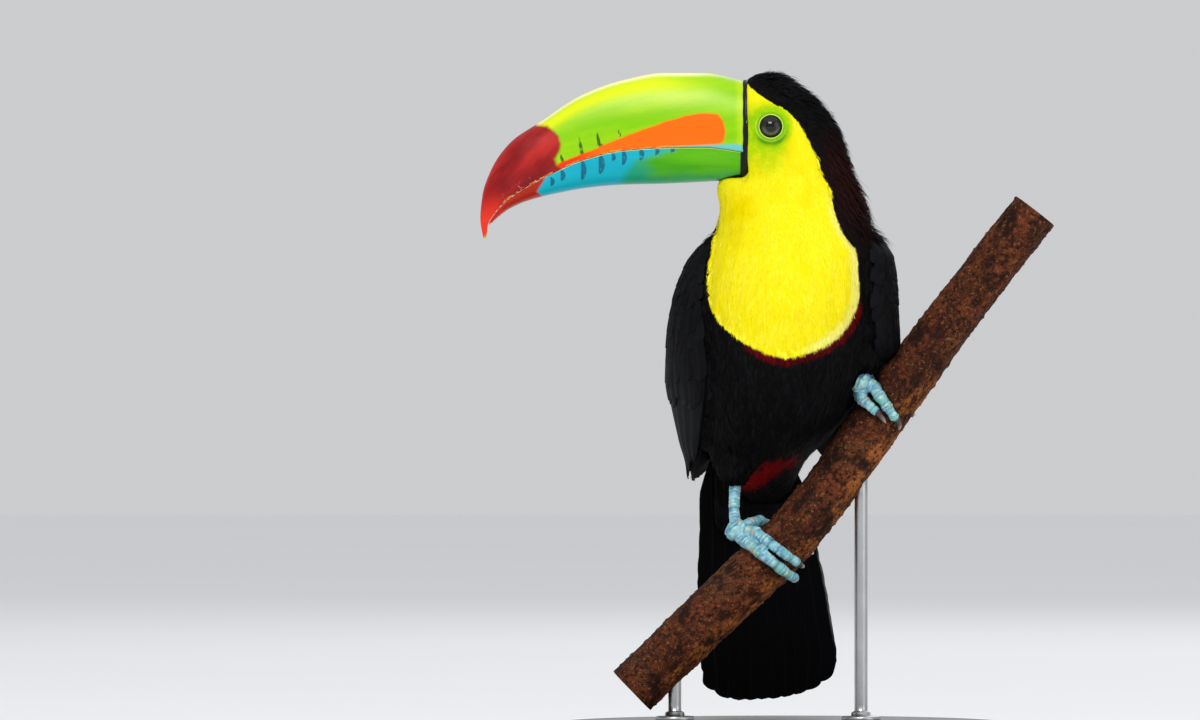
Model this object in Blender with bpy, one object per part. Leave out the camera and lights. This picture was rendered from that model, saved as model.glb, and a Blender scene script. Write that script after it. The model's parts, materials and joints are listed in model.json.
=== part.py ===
"""Keel-billed toucan at life size, perched on a cut length of branch that a plain display stand carries.

Frame, in metres: +Z up, the bird's chest faces -Y, its head is turned so the bill points to -X, and the origin is
the centre of the stand base's underside. Dimensions below are in millimetres and are scaled by MM at the end.
Every builder takes `grow`, so that the same shape, 0.3 mm larger, serves as the cutter that clears its neighbours.
"""

import math

import bmesh
import bpy
import numpy as np

MM = 0.001
GAP = 0.3  # clearance between pieces that touch
FLAT_DEGREES = 1.0  # faces that meet flatter than this after a cut are made one
BIRD_Y = -12.0  # the bird and its perch, moved so that the base stands centred under their weight

# ---------------------------------------------------------------- body: head, neck and trunk as level sections
BODY_SEGMENTS = 28
CROWN_Z, NECK_TOP_Z, NECK_BASE_Z, VENT_Z = 312.2, 258.6, 236.4, 112.4
# height, left edge, right edge, front edge, back edge, squareness of the section
BODY = (
    (312.0, -10.6, -3.6, -4.0, 4.0, 2.0),
    (311.0, -13.6, 0.4, -8.5, 8.5, 2.0),
    (309.0, -17.5, 3.8, -12.0, 12.0, 2.0),
    (306.0, -22.0, 7.0, -15.0, 15.0, 2.1),
    (299.4, -27.2, 16.2, -18.0, 18.0, 2.1),
    (292.4, -29.1, 21.4, -19.5, 19.5, 2.1),
    (285.5, -29.6, 25.6, -20.0, 20.0, 2.1),
    (271.7, -30.5, 29.6, -21.0, 20.5, 2.1),
    (264.7, -30.5, 32.4, -22.5, 20.5, 2.1),
    (257.8, -30.5, 35.6, -25.5, 21.5, 2.1),
    (250.9, -30.5, 38.4, -29.5, 24.0, 2.1),
    (243.9, -31.0, 39.7, -35.0, 28.0, 2.1),
    (237.0, -32.8, 42.5, -41.0, 32.0, 2.1),
    (230.1, -35.6, 43.9, -47.0, 36.0, 2.1),
    (216.2, -39.3, 44.1, -53.0, 40.0, 2.1),
    (202.4, -41.6, 43.4, -56.0, 44.0, 2.1),
    (188.5, -43.0, 42.5, -56.0, 49.0, 2.1),
    (174.6, -43.0, 39.3, -52.5, 53.0, 2.1),
    (160.8, -41.1, 34.2, -45.0, 56.0, 2.1),
    (149.2, -38.8, 27.3, -34.0, 58.5, 2.1),
    (140.0, -36.0, 19.0, -20.0, 61.0, 2.1),
    (134.0, -32.8, 12.0, -8.0, 63.5, 2.1),
    (129.4, -29.1, 9.4, 5.0, 66.5, 2.1),
    (124.7, -25.4, 7.8, 17.0, 69.5, 2.1),
    (120.1, -23.1, 6.5, 28.0, 72.0, 2.1),
    (115.5, -20.6, 4.0, 39.0, 74.0, 2.1),
    (112.0, -16.6, 0.2, 49.0, 74.5, 2.1),
)

# ---------------------------------------------------------------- eyes
EYE_RADIUS, EYE_X, EYE_Z, EYE_Y = 6.3, -5.8, 286.9, 15.4

# ---------------------------------------------------------------- bill, stations from the base to the tip
BILL_BASE_X = -17.5
BILL_SHELF_Z = 261.4  # the throat's flat top, just under the lower mandible
# ridge x, z; biting edge x, z; underside x, z; half width
BILL = (
    (-17.5, 307.9, -17.5, 274.9, -17.5, 263.7, 16.0),
    (-36.5, 311.9, -37.4, 277.2, -37.4, 261.6, 15.4),
    (-55.0, 311.9, -54.6, 277.0, -55.0, 260.8, 14.6),
    (-73.9, 308.6, -73.9, 275.8, -73.9, 260.3, 13.5),
    (-92.9, 301.7, -91.5, 271.7, -89.2, 259.0, 12.2),
    (-111.5, 289.7, -107.2, 265.0, -103.0, 256.6, 10.5),
    (-125.7, 280.0, -121.0, 257.5, -116.9, 253.2, 8.6),
    (-134.4, 268.0, -128.9, 251.8, -126.1, 249.3, 6.8),
    (-138.8, 255.5, -134.0, 245.8, -132.6, 244.4, 4.6),
    (-139.8, 244.9, -136.0, 242.2, -135.4, 241.6, 2.6),
    (-138.4, 235.3, -136.9, 236.2, -136.5, 240.9, 0.8),
)
BILL_STEPS, BILL_ARC = 18, 10
LOWER_END = 0.88  # share of the stations where the lower mandible stops

# ---------------------------------------------------------------- wings: the outer strip in plan at each height
WING_ACROSS, WING_STEPS = 6, 14
# height, front edge x, y, widest point x, y, back edge x, y, thickness
WING_RIGHT = (
    (235.6, -32.0, -14.0, -34.6, -4.0, -24.0, 18.0, 2.0),
    (231.0, -34.0, -19.0, -38.2, -4.0, -21.0, 29.0, 5.0),
    (223.1, -36.4, -25.0, -43.2, -3.0, -19.1, 35.6, 8.0),
    (207.0, -38.6, -30.4, -49.0, 0.0, -17.0, 46.4, 11.0),
    (188.5, -38.0, -34.6, -51.6, 4.0, -14.0, 55.5, 12.0),
    (170.0, -36.4, -31.9, -51.8, 12.0, -12.0, 61.0, 12.0),
    (156.2, -36.5, -21.8, -48.8, 18.0, -12.0, 64.0, 11.0),
    (142.3, -37.6, -2.0, -45.6, 26.0, -15.5, 68.0, 8.0),
    (131.7, -38.6, 14.0, -43.4, 33.0, -29.0, 66.0, 4.6),
    (126.0, -40.0, 26.0, -43.0, 38.0, -36.5, 58.0, 2.6),
    (122.8, -40.6, 33.0, -42.0, 40.0, -40.0, 48.0, 1.6),
)
WING_LEFT = (
    (236.4, 37.4, -20.0, 43.4, -3.0, 33.0, 18.0, 2.0),
    (231.6, 40.0, -25.2, 46.9, -3.0, 28.4, 28.6, 5.0),
    (224.5, 41.5, -27.8, 49.8, -2.0, 25.7, 35.2, 8.0),
    (207.0, 41.5, -30.8, 50.8, 0.0, 17.8, 45.2, 11.0),
    (190.8, 42.4, -26.7, 50.6, 5.0, 12.0, 53.4, 12.0),
    (182.0, 44.0, -15.8, 49.4, 10.0, 10.0, 56.8, 12.0),
    (176.0, 41.2, 0.0, 43.8, 18.0, 9.0, 59.0, 10.0),
    (160.8, 36.4, 10.0, 40.0, 24.0, 7.0, 63.0, 9.0),
    (146.6, 30.5, 21.0, 34.0, 35.0, 8.0, 67.0, 6.6),
    (135.0, 26.0, 34.0, 29.0, 45.0, 19.0, 62.0, 3.4),
    (128.6, 24.0, 43.0, 26.4, 49.0, 22.0, 56.0, 1.8),
)

# ---------------------------------------------------------------- tail: height, left edge, right edge, thickness
TAIL_TOP_Z, TAIL_TIP_Z = 134.0, 19.3
TAIL_TOP_Y, TAIL_TIP_Y, TAIL_ARCH = 50.0, 111.0, 4.0
TAIL = (
    (134.0, -32.6, 7.8, 9.0),
    (124.2, -36.6, 11.4, 8.4),
    (104.5, -37.4, 14.6, 6.8),
    (76.2, -39.1, 20.8, 5.2),
    (57.3, -38.8, 23.6, 4.2),
    (40.7, -37.2, 25.8, 3.4),
    (32.6, -35.7, 24.3, 3.0),
    (25.9, -32.7, 17.4, 2.6),
    (22.1, -29.6, 7.1, 2.2),
    (19.3, -24.9, -7.6, 1.6),
)

# ---------------------------------------------------------------- perch: centre line x, z, radius
PERCH_Y = -5.0
PERCH_SEGMENTS, PERCH_STEPS = 16, 21
PERCH = (
    (-69.8, 26.6, 12.7),
    (-31.2, 63.8, 12.6),
    (4.2, 98.4, 12.5),
    (20.8, 119.6, 12.2),
    (49.9, 160.8, 12.0),
    (81.1, 202.4, 11.7),
    (116.4, 248.1, 11.3),
)
PERCH_KNOTS = ((0.13, 2.4, 0.7), (0.41, 0.4, 0.5), (0.67, 4.1, 0.6), (0.88, 5.3, 0.9))  # share, angle, height

# ---------------------------------------------------------------- legs and feet
TOE_SEGMENTS = 7
# Each foot: place along the perch (mm from the low end), lean round the perch of its joint in degrees, joint
# distance from the perch's axis, then the leg's points x, y, z above the joint and its radii.
FEET = {
    "right": {
        "along": 86.3,
        "lean": 16.0,
        "reach": 21.4,
        "leg": ((-22.6, -7.0, 111.0), (-22.2, -4.0, 120.1), (-21.5, -1.0, 133.0)),
        "leg_radii": (2.7, 2.5, 2.7, 3.0),
        # start and end along the perch from the joint, start and end angle round it, radii, claw turn, claw drift
        "toes": {
            "outer": (-0.5, 3.6, 30.0, 158.0, 3.1, 2.2, 34.0, 0.6),
            "inner": (5.6, 9.2, 34.0, 128.0, 2.9, 2.1, 34.0, 1.0),
            "hind": (11.0, 16.6, -14.0, -122.0, 2.7, 2.0, -34.0, 0.4),
            "fourth": (3.0, 5.6, -24.0, -112.0, 2.8, 2.0, -32.0, -0.6),
        },
    },
    "left": {
        "along": 179.0,
        "lean": 34.0,
        "reach": 19.6,
        "leg": ((33.0, -13.6, 178.0), (28.0, -9.0, 190.0)),
        "leg_radii": (2.9, 2.8, 3.0),
        "toes": {
            "outer": (1.4, -4.2, 50.0, 112.0, 3.0, 2.1, 30.0, -3.6),
            "inner": (-6.0, -7.0, 42.0, 78.0, 2.7, 2.0, 26.0, -1.8),
            "hind": (3.6, 2.4, -4.0, -128.0, 2.7, 2.0, -46.0, -1.4),
            "fourth": (-5.0, -9.0, -8.0, -126.0, 2.7, 2.0, -32.0, -0.8),
        },
    },
}
JOINT_RADIUS = 4.5
CLAW_RADIUS = 1.5
# thighs: x, y, z, radius from the top down
THIGHS = {
    "right": ((-20.0, 8.0, 156.0, 17.0), (-22.0, 4.0, 140.0, 14.5), (-22.5, -1.0, 129.0, 10.0), (-22.3, -4.0, 120.4, 5.6)),
    "left": ((24.0, -8.0, 204.0, 17.0), (29.0, -10.0, 191.0, 15.5), (34.0, -12.0, 180.0, 12.5), (36.4, -13.0, 172.6, 8.5)),
}
THIGH_SEGMENTS = 12

# ---------------------------------------------------------------- display stand
BASE_RADIUS, BASE_HEIGHT, BASE_BEVEL, BASE_SEGMENTS = 105.0, 12.0, 1.6, 36
ROD_RADIUS, ROD_SEGMENTS, FLANGE_RADIUS, FLANGE_HEIGHT = 3.0, 12, 9.0, 3.0
RODS = {"low": -50.0, "high": 36.0}  # x of each rod, under the perch's centre line

COLOURS = {
    "feather": (0.012, 0.011, 0.011),
    "yellow": (0.90, 0.80, 0.02),
    "bill": (0.32, 0.62, 0.03),
    "mandible": (0.02, 0.40, 0.28),
    "eye": (0.01, 0.01, 0.01),
    "foot": (0.22, 0.42, 0.46),
    "claw": (0.06, 0.05, 0.05),
    "bark": (0.12, 0.05, 0.025),
    "stand": (0.05, 0.035, 0.028),
    "steel": (0.60, 0.60, 0.61),
}


class Keys:
    """Rows of numbers at rising or falling stations, read between them on a smooth curve that never overshoots."""

    def __init__(self, stations, rows):
        stations, rows = np.asarray(stations, float), np.asarray(rows, float)
        order = np.argsort(stations)
        self.at, self.rows = stations[order], rows[order]
        step = np.diff(self.at)[:, None]
        rise = np.diff(self.rows, axis=0) / step
        self.slope = np.zeros_like(self.rows)
        same = rise[:-1] * rise[1:] > 0
        total = rise[:-1] + rise[1:]
        safe = np.where(same, total, 1.0)
        self.slope[1:-1] = np.where(same, 2 * rise[:-1] * rise[1:] / safe, 0.0)
        self.slope[0], self.slope[-1] = rise[0], rise[-1]

    def read(self, station):
        station = min(max(station, self.at[0]), self.at[-1])
        i = int(np.clip(np.searchsorted(self.at, station) - 1, 0, len(self.at) - 2))
        width = self.at[i + 1] - self.at[i]
        t = (station - self.at[i]) / width
        a, b = self.rows[i], self.rows[i + 1]
        return (
            (2 * t**3 - 3 * t**2 + 1) * a
            + (t**3 - 2 * t**2 + t) * width * self.slope[i]
            + (3 * t**2 - 2 * t**3) * b
            + (t**3 - t**2) * width * self.slope[i + 1]
        )


BODY_KEYS = Keys([row[0] for row in BODY], [row[1:] for row in BODY])
BILL_KEYS = Keys(np.linspace(0, 1, len(BILL)), BILL)
TAIL_KEYS = Keys([row[0] for row in TAIL], [row[1:] for row in TAIL])


def perch_lengths():
    points = np.array([row[:2] for row in PERCH])
    return np.concatenate([[0], np.cumsum(np.linalg.norm(np.diff(points, axis=0), axis=1))])


PERCH_KEYS = Keys(perch_lengths(), PERCH)
PERCH_LENGTH = float(perch_lengths()[-1])


# ---------------------------------------------------------------- meshes


def material(kind):
    name = "mat_" + kind
    made = bpy.data.materials.get(name) or bpy.data.materials.new(name)
    made.use_nodes = True
    shader = made.node_tree.nodes["Principled BSDF"]
    shader.inputs["Base Color"].default_value = (*COLOURS[kind], 1)
    shader.inputs["Roughness"].default_value = 0.5
    made.diffuse_color = (*COLOURS[kind], 1)
    return made


def solid(name, points, faces, kind="feather"):
    """An object from points in millimetres, its faces turned outwards."""
    mesh = bpy.data.meshes.new(name)
    mesh.from_pydata([tuple(np.asarray(p, float) * MM) for p in points], [], faces)
    work = bmesh.new()
    work.from_mesh(mesh)
    bmesh.ops.recalc_face_normals(work, faces=work.faces)
    if work.calc_volume(signed=True) < 0:
        bmesh.ops.reverse_faces(work, faces=work.faces)
    bmesh.ops.triangulate(work, faces=work.faces)
    work.to_mesh(mesh)
    work.free()
    made = bpy.data.objects.new(name, mesh)
    mesh.materials.append(material(kind))
    bpy.context.scene.collection.objects.link(made)
    return made


def loft(name, rings, kind="feather", cap_points=(None, None)):
    """A closed solid through rings of equal count, each end closed flat or by a fan to the point given."""
    count = len(rings[0])
    points = [p for ring in rings for p in ring]
    faces = []
    for k in range(len(rings) - 1):
        for i in range(count):
            j = (i + 1) % count
            faces.append((k * count + i, k * count + j, (k + 1) * count + j, (k + 1) * count + i))
    for place, given in ((0, cap_points[0]), ((len(rings) - 1) * count, cap_points[1])):
        if given is None:
            faces.append(tuple(range(place, place + count)))
            continue
        points.append(given)
        for i in range(count):
            faces.append((place + i, place + (i + 1) % count, len(points) - 1))
    return solid(name, points, faces, kind)


def combine(target, others, operation, drop=True):
    """Applies an exact Boolean of each other object to the target."""
    for other in others:
        modifier = target.modifiers.new("cut", "BOOLEAN")
        modifier.solver = "EXACT"
        modifier.operation = operation
        modifier.use_self = True  # a tube may cross itself at a tight bend
        modifier.object = other
        bpy.context.view_layer.update()
        graph = bpy.context.evaluated_depsgraph_get()
        mesh = bpy.data.meshes.new_from_object(target.evaluated_get(graph))
        target.modifiers.clear()
        old, target.data = target.data, mesh
        bpy.data.meshes.remove(old)
        mesh.materials.clear()
        mesh.materials.append(target_material(target))
        if drop:
            bpy.data.objects.remove(other)
    return target


KINDS = {}


def target_material(target):
    return material(KINDS.get(target.name, "feather"))


def tidy(target):
    """Drops the crumbs a Boolean leaves: doubled points, and any loose piece smaller than the main one."""
    work = bmesh.new()
    work.from_mesh(target.data)
    bmesh.ops.remove_doubles(work, verts=work.verts, dist=0.00002)
    bmesh.ops.dissolve_degenerate(work, edges=work.edges, dist=0.00002)
    left = set(work.verts)
    groups = []
    while left:
        stack, group = [left.pop()], []
        while stack:
            vert = stack.pop()
            group.append(vert)
            for edge in vert.link_edges:
                other = edge.other_vert(vert)
                if other in left:
                    left.remove(other)
                    stack.append(other)
        groups.append(group)
    groups.sort(key=len)
    for group in groups[:-1]:
        bmesh.ops.delete(work, geom=group, context="VERTS")
    bmesh.ops.dissolve_limit(work, angle_limit=math.radians(FLAT_DEGREES), verts=work.verts, edges=work.edges)
    bmesh.ops.triangulate(work, faces=work.faces)
    work.to_mesh(target.data)
    work.free()


# ---------------------------------------------------------------- builders


def body_ring(z, grow=0.0):
    left, right, front, back, square = BODY_KEYS.read(z)
    cx, cy = (left + right) / 2, (front + back) / 2
    ax, ay = (right - left) / 2 + grow, (back - front) / 2 + grow
    ring = []
    for i in range(BODY_SEGMENTS):
        turn = 2 * math.pi * i / BODY_SEGMENTS
        c, s = math.cos(turn), math.sin(turn)
        x = cx + ax * math.copysign(abs(c) ** (2 / square), c)
        y = cy + ay * math.copysign(abs(s) ** (2 / square), s)
        ring.append((x, y + BIRD_Y, z))
    return ring


def body_length(name, top, bottom, grow=0.0, steps=10, kind="feather"):
    """The body between two heights; a grown one runs past both."""
    heights = sorted({bottom - grow, *np.linspace(bottom, top, steps), top + grow})
    return loft(name, [body_ring(z, grow) for z in heights], kind)


def head_solid():
    heights = list(np.linspace(NECK_TOP_Z + GAP / 2, 299.0, 10)) + [303.0, 306.2, 308.6, 310.5, 311.6]
    made = loft("head", [body_ring(z) for z in heights], "feather", (None, (-7.0, BIRD_Y, CROWN_Z)))
    front = box("cut_bill", (-80, BILL_BASE_X + GAP), (-60, 60), (BILL_SHELF_Z, 330))
    tidy(combine(made, [front, *(eye(side, GAP) for side in ("left", "right"))], "DIFFERENCE"))


def box(name, xs, ys, zs):
    points = [(x, y, z) for x in xs for y in ys for z in zs]
    faces = ((0, 1, 3, 2), (4, 6, 7, 5), (0, 4, 5, 1), (2, 3, 7, 6), (0, 2, 6, 4), (1, 5, 7, 3))
    return solid(name, points, faces)


def eye(side, grow=0.0):
    """An eyeball: a sphere of rings round the Y axis."""
    y = BIRD_Y + (-EYE_Y if side == "left" else EYE_Y)
    radius, across, along = EYE_RADIUS + grow, 14, 8
    rings = []
    for k in range(1, along):
        a = math.pi * k / along
        rings.append(
            [
                (
                    EYE_X + radius * math.sin(a) * math.cos(2 * math.pi * i / across),
                    y + radius * math.cos(a),
                    EYE_Z + radius * math.sin(a) * math.sin(2 * math.pi * i / across),
                )
                for i in range(across)
            ]
        )
    ends = ((EYE_X, y + radius, EYE_Z), (EYE_X, y - radius, EYE_Z))
    return loft("eye_" + side if not grow else "cut_eye_" + side, rings, "eye", ends)


def bill_half(name, upper):
    """One mandible: rounded over the ridge or under the chin, flat along the bite."""
    last = 1.0 if upper else LOWER_END
    rings = []
    for k in range(BILL_STEPS + 1):
        t = last * (1 - (1 - k / BILL_STEPS) ** 1.25)
        rx, rz, bx, bz, ux, uz, half = BILL_KEYS.read(t)
        top, bite, under = np.array((rx, rz)), np.array((bx, bz)), np.array((ux, uz))
        lift = (top - under) / max(np.linalg.norm(top - under), 1e-6)
        bite = bite + lift * (GAP / 2 if upper else -GAP / 2)
        outer = top if upper else under
        if not upper and k == BILL_STEPS:
            outer, half = bite + (under - bite) * 0.25, half * 0.5
        ring = []
        for i in range(BILL_ARC + 1):
            a = math.pi * i / BILL_ARC
            rise = math.sin(a) ** (0.92 if upper else 1.05)
            side = math.copysign(abs(math.cos(a)) ** (0.72 if upper else 0.8), math.cos(a))
            belly = 1 + (0.05 if upper else -0.02) * math.sin(2 * a) * math.copysign(1, math.cos(a))
            flat = bite + (outer - bite) * rise
            ring.append((flat[0], BIRD_Y + half * side * belly, flat[1]))
        rings.append(ring)
    return loft(name, rings, "bill" if upper else "mandible")


def wing(name, table, grow=0.0):
    """A folded wing: a bowed strip in plan at each height, thick in the middle and thin at its edges."""
    keys = Keys([row[0] for row in table], [row[1:] for row in table])
    top, bottom = table[0][0], table[-1][0]
    rings = []
    for k in range(WING_STEPS + 1):
        share = k / WING_STEPS
        z = top + (bottom - top) * (0.5 - 0.5 * math.cos(math.pi * share)) ** 0.9
        fx, fy, mx, my, bx, by, thick = keys.read(z)
        front, middle, back = np.array((fx, fy)), np.array((mx, my)), np.array((bx, by))
        control = 2 * middle - (front + back) / 2  # the quadratic then passes through the middle point
        left, right, chest, rump, _ = BODY_KEYS.read(z)
        core = np.array(((left + right) / 2, (chest + rump) / 2))
        outer, inner = [], []
        for i in range(WING_ACROSS + 1):
            s = i / WING_ACROSS
            p = (1 - s) ** 2 * front + 2 * s * (1 - s) * control + s**2 * back
            inward = core - p
            inward /= np.linalg.norm(inward)
            depth = thick * (0.42 + 0.58 * math.sin(math.pi * s))
            outer.append(p - inward * grow)
            inner.append(p + inward * (max(depth, 0.9) + grow))
        ring = [(x, y + BIRD_Y, z) for x, y in outer + inner[::-1]]
        rings.append(ring)
    if grow:
        for place, shift in ((0, grow), (-1, -grow)):
            rings.insert(
                0 if place == 0 else len(rings),
                [(x, y, z + shift) for x, y, z in rings[place]],
            )
    return loft(name, rings)


def tail_centre_y(z):
    t = (TAIL_TOP_Z - z) / (TAIL_TOP_Z - TAIL_TIP_Z)
    return TAIL_TOP_Y + (TAIL_TIP_Y - TAIL_TOP_Y) * (0.9 * t + 0.1 * t * t)


def tail(name, grow=0.0):
    rings, across = [], 16
    heights = np.linspace(TAIL_TOP_Z, 36.0, 8).tolist() + [30.0, 25.6, 21.6, TAIL_TIP_Z]
    if grow:
        heights = [TAIL_TOP_Z + grow + 0.1] + heights + [TAIL_TIP_Z - grow]
    for z in heights:
        left, right, thick = TAIL_KEYS.read(z)
        cx, half = (left + right) / 2, (right - left) / 2 + grow
        cy, deep = tail_centre_y(z), thick / 2 / 0.87 + grow
        ring = []
        for i in range(across):
            turn = 2 * math.pi * i / across
            c, s = math.cos(turn), math.sin(turn)
            x = half * math.copysign(abs(c) ** 0.75, c)
            y = deep * math.copysign(abs(s) ** 0.75, s) - TAIL_ARCH * (x / half) ** 2
            ring.append((cx + x, cy + y + BIRD_Y, z))
        rings.append(ring)
    return loft(name, rings)


def perch_frame(along):
    """Centre, axis, up-left normal and radius of the perch this far from its low end, in the XZ plane."""
    x, z, radius = PERCH_KEYS.read(along)
    ahead, behind = PERCH_KEYS.read(along + 2), PERCH_KEYS.read(along - 2)
    axis = np.array((ahead[0] - behind[0], ahead[1] - behind[1]))
    axis /= np.linalg.norm(axis)
    return np.array((x, z)), axis, np.array((-axis[1], axis[0])), radius


def round_perch(along, angle, distance):
    """The point at this angle (degrees) round the perch: 0 is its upper-left side, 90 its front."""
    centre, _, normal, _ = perch_frame(along)
    a = math.radians(angle)
    x, z = centre + normal * distance * math.cos(a)
    return np.array((x, BIRD_Y + PERCH_Y - distance * math.sin(a), z))


def perch(name, grow=0.0):
    rings = []
    for k in range(PERCH_STEPS + 1):
        share = k / PERCH_STEPS
        along = share * PERCH_LENGTH
        centre, axis, normal, radius = perch_frame(min(max(along, 2.1), PERCH_LENGTH - 2.1))
        centre = PERCH_KEYS.read(along)[:2]
        if grow and k in (0, PERCH_STEPS):
            centre = centre + axis * (grow if k else -grow)
        ring = []
        for i in range(PERCH_SEGMENTS):
            turn = 2 * math.pi * i / PERCH_SEGMENTS
            r = radius + grow
            r += 0.25 * math.sin(3 * turn + 9 * share) + 0.2 * math.sin(2 * turn - 17 * share)
            for place, angle, height in PERCH_KNOTS:
                off = math.remainder(turn - angle, 2 * math.pi)
                r += height * math.exp(-(((share - place) / 0.03) ** 2) - (off / 0.5) ** 2)
            if k in (0, PERCH_STEPS):
                r -= 0.5
            x, z = centre + normal * r * math.cos(turn)
            ring.append((x, BIRD_Y + PERCH_Y - r * math.sin(turn), z))
        rings.append(ring)
    return loft(name, rings, "bark")


def tube(name, points, radii, kind="foot", segments=TOE_SEGMENTS, grow=0.0, blunt=True):
    """A round limb through the points; blunt ends are domed a little, others close to a point."""
    points, radii = np.asarray(points, float), np.asarray(radii, float) + grow
    directions = np.gradient(points, axis=0)
    directions /= np.linalg.norm(directions, axis=1)[:, None]
    if blunt:
        first, last = points[0] - directions[0] * radii[0] * 0.5, points[-1] + directions[-1] * radii[-1] * 0.45
        points = np.vstack([first, points, last])
        radii = np.concatenate([[radii[0] * 0.6], radii, [radii[-1] * 0.62]])
        directions = np.vstack([directions[0], directions, directions[-1]])
    side = np.cross(directions[0], (0.31, 0.22, 0.92))
    rings = []
    for p, d, r in zip(points, directions, radii):
        side = side - d * side.dot(d)
        side /= np.linalg.norm(side)
        other = np.cross(d, side)
        rings.append(
            [
                p + r * (math.cos(2 * math.pi * i / segments) * side + math.sin(2 * math.pi * i / segments) * other)
                for i in range(segments)
            ]
        )
    return loft(name, rings, kind)


def toe_path(foot, toe):
    """Points and radii of a toe from the foot joint and round the perch, then where and how its claw starts."""
    start, end, first, last, thick, thin, _, _ = foot["toes"][toe]
    joint = round_perch(foot["along"], foot["lean"], foot["reach"])
    points, radii = [joint], [thick * 1.05]
    steps = 6
    for k in range(steps + 1):
        share = k / steps
        along = foot["along"] + start + (end - start) * share
        angle = first + (last - first) * share
        radius = thick + (thin - thick) * share
        pad = 1 + 0.09 * math.cos(2 * math.pi * (share * 3.0 + 0.1))
        _, _, _, bark = perch_frame(along)
        points.append(round_perch(along, angle, bark + radius * 1.02 + 0.5))
        radii.append(radius * pad)
    return np.array(points), np.array(radii)


def foot_pieces(side, grow=0.0):
    foot = FEET[side]
    joint = round_perch(foot["along"], foot["lean"], foot["reach"])
    leg = [joint] + [np.array((x, y + BIRD_Y, z)) for x, y, z in foot["leg"]]
    pieces = [tube("leg", leg, foot["leg_radii"], grow=grow, segments=9)]
    centre, axis, normal, _ = perch_frame(foot["along"])
    across = np.array((axis[0], 0.0, axis[1]))
    palm = [joint - across * 2.6, joint, joint + across * 2.6]
    pieces.append(tube("palm", palm, (JOINT_RADIUS * 0.8, JOINT_RADIUS, JOINT_RADIUS * 0.8), grow=grow, segments=9))
    for toe in foot["toes"]:
        points, radii = toe_path(foot, toe)
        pieces.append(tube("toe", points, radii, grow=grow))
    return pieces


def claw(side, toe, grow=0.0):
    """A curved, pointed claw that carries on round the perch from its toe."""
    foot = FEET[side]
    start, end, first, last, _, thin, turn, drift = foot["toes"][toe]
    direction = math.copysign(1, last - first)
    _, _, _, bark = perch_frame(foot["along"] + end)
    ring = bark + thin * 1.02 + 0.5
    begin = last + direction * math.degrees((thin * 0.45 + GAP + 0.35) / ring)
    points, radii = [], []
    for k in range(6):
        share = k / 5
        distance = bark + 0.7 + CLAW_RADIUS * (1 - share) + (ring - bark - 0.7 - CLAW_RADIUS) * (1 - share) ** 2
        distance += 0.9 * math.sin(math.pi * share)
        points.append(round_perch(foot["along"] + end + drift * share, begin + turn * share, distance))
        radii.append(CLAW_RADIUS * (1 - share) ** 0.8 + 0.28)
    return tube(f"claw_{side}_{toe}" if not grow else "cut_claw", points, radii, "claw", 6, grow, False)


def grip(side):
    """Cutters that clear a whole foot and its claws."""
    return foot_pieces(side, GAP) + [claw(side, toe, GAP) for toe in FEET[side]["toes"]]


def thigh(side, grow=0.0, name=None):
    table = THIGHS[side]
    keys = Keys([row[2] for row in table], table)
    heights = np.linspace(table[-1][2], table[0][2], 6)
    rings = []
    for place, z in enumerate(heights):
        x, y, _, radius = keys.read(z)
        radius += grow - (0.8 if place == 0 else 0)
        z += (grow if place == 5 else -grow if place == 0 else 0)
        rings.append(
            [
                (
                    x + radius * math.cos(2 * math.pi * i / THIGH_SEGMENTS),
                    y + BIRD_Y + radius * math.sin(2 * math.pi * i / THIGH_SEGMENTS),
                    z,
                )
                for i in range(THIGH_SEGMENTS)
            ]
        )
    return loft(name or "thigh_" + side, rings)


def turned(name, profile, x, y, segments, kind):
    """A solid of revolution about an upright axis, from (radius, height) rows."""
    rings = [
        [
            (x + r * math.cos(2 * math.pi * i / segments), y + r * math.sin(2 * math.pi * i / segments), z)
            for i in range(segments)
        ]
        for r, z in profile
    ]
    return loft(name, rings, kind)


def perch_height(x):
    """Height of the perch's centre line above this x."""
    low, high = 0.0, PERCH_LENGTH
    for _ in range(40):
        middle = (low + high) / 2
        low, high = (middle, high) if PERCH_KEYS.read(middle)[0] < x else (low, middle)
    return float(PERCH_KEYS.read(low)[1])


def stand():
    bevel = BASE_BEVEL
    profile = ((BASE_RADIUS - 0.4, 0), (BASE_RADIUS, 0.4), (BASE_RADIUS, BASE_HEIGHT - bevel), (BASE_RADIUS - bevel, BASE_HEIGHT))
    base = turned("stand_base", profile, 0, 0, BASE_SEGMENTS, "stand")
    KINDS[base.name] = "stand"
    for label, x in RODS.items():
        y = BIRD_Y + PERCH_Y
        name = "stand_rod_" + label
        KINDS[name] = "steel"
        floor = BASE_HEIGHT + GAP
        spigot = BASE_HEIGHT - 6.0
        rows = (
            (ROD_RADIUS, spigot),
            (ROD_RADIUS, floor),
            (FLANGE_RADIUS, floor),
            (FLANGE_RADIUS, floor + FLANGE_HEIGHT - 0.8),
            (FLANGE_RADIUS - 0.8, floor + FLANGE_HEIGHT),
            (ROD_RADIUS, floor + FLANGE_HEIGHT),
            (ROD_RADIUS, perch_height(x)),
        )
        rod = turned(name, rows, x, y, ROD_SEGMENTS, "steel")
        combine(rod, [perch("cut_perch", GAP)], "DIFFERENCE")
        tidy(rod)
        hole = turned("cut_hole", ((ROD_RADIUS + GAP, spigot - GAP), (ROD_RADIUS + GAP, BASE_HEIGHT + 4)), x, y, ROD_SEGMENTS, "steel")
        combine(base, [hole], "DIFFERENCE")


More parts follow.
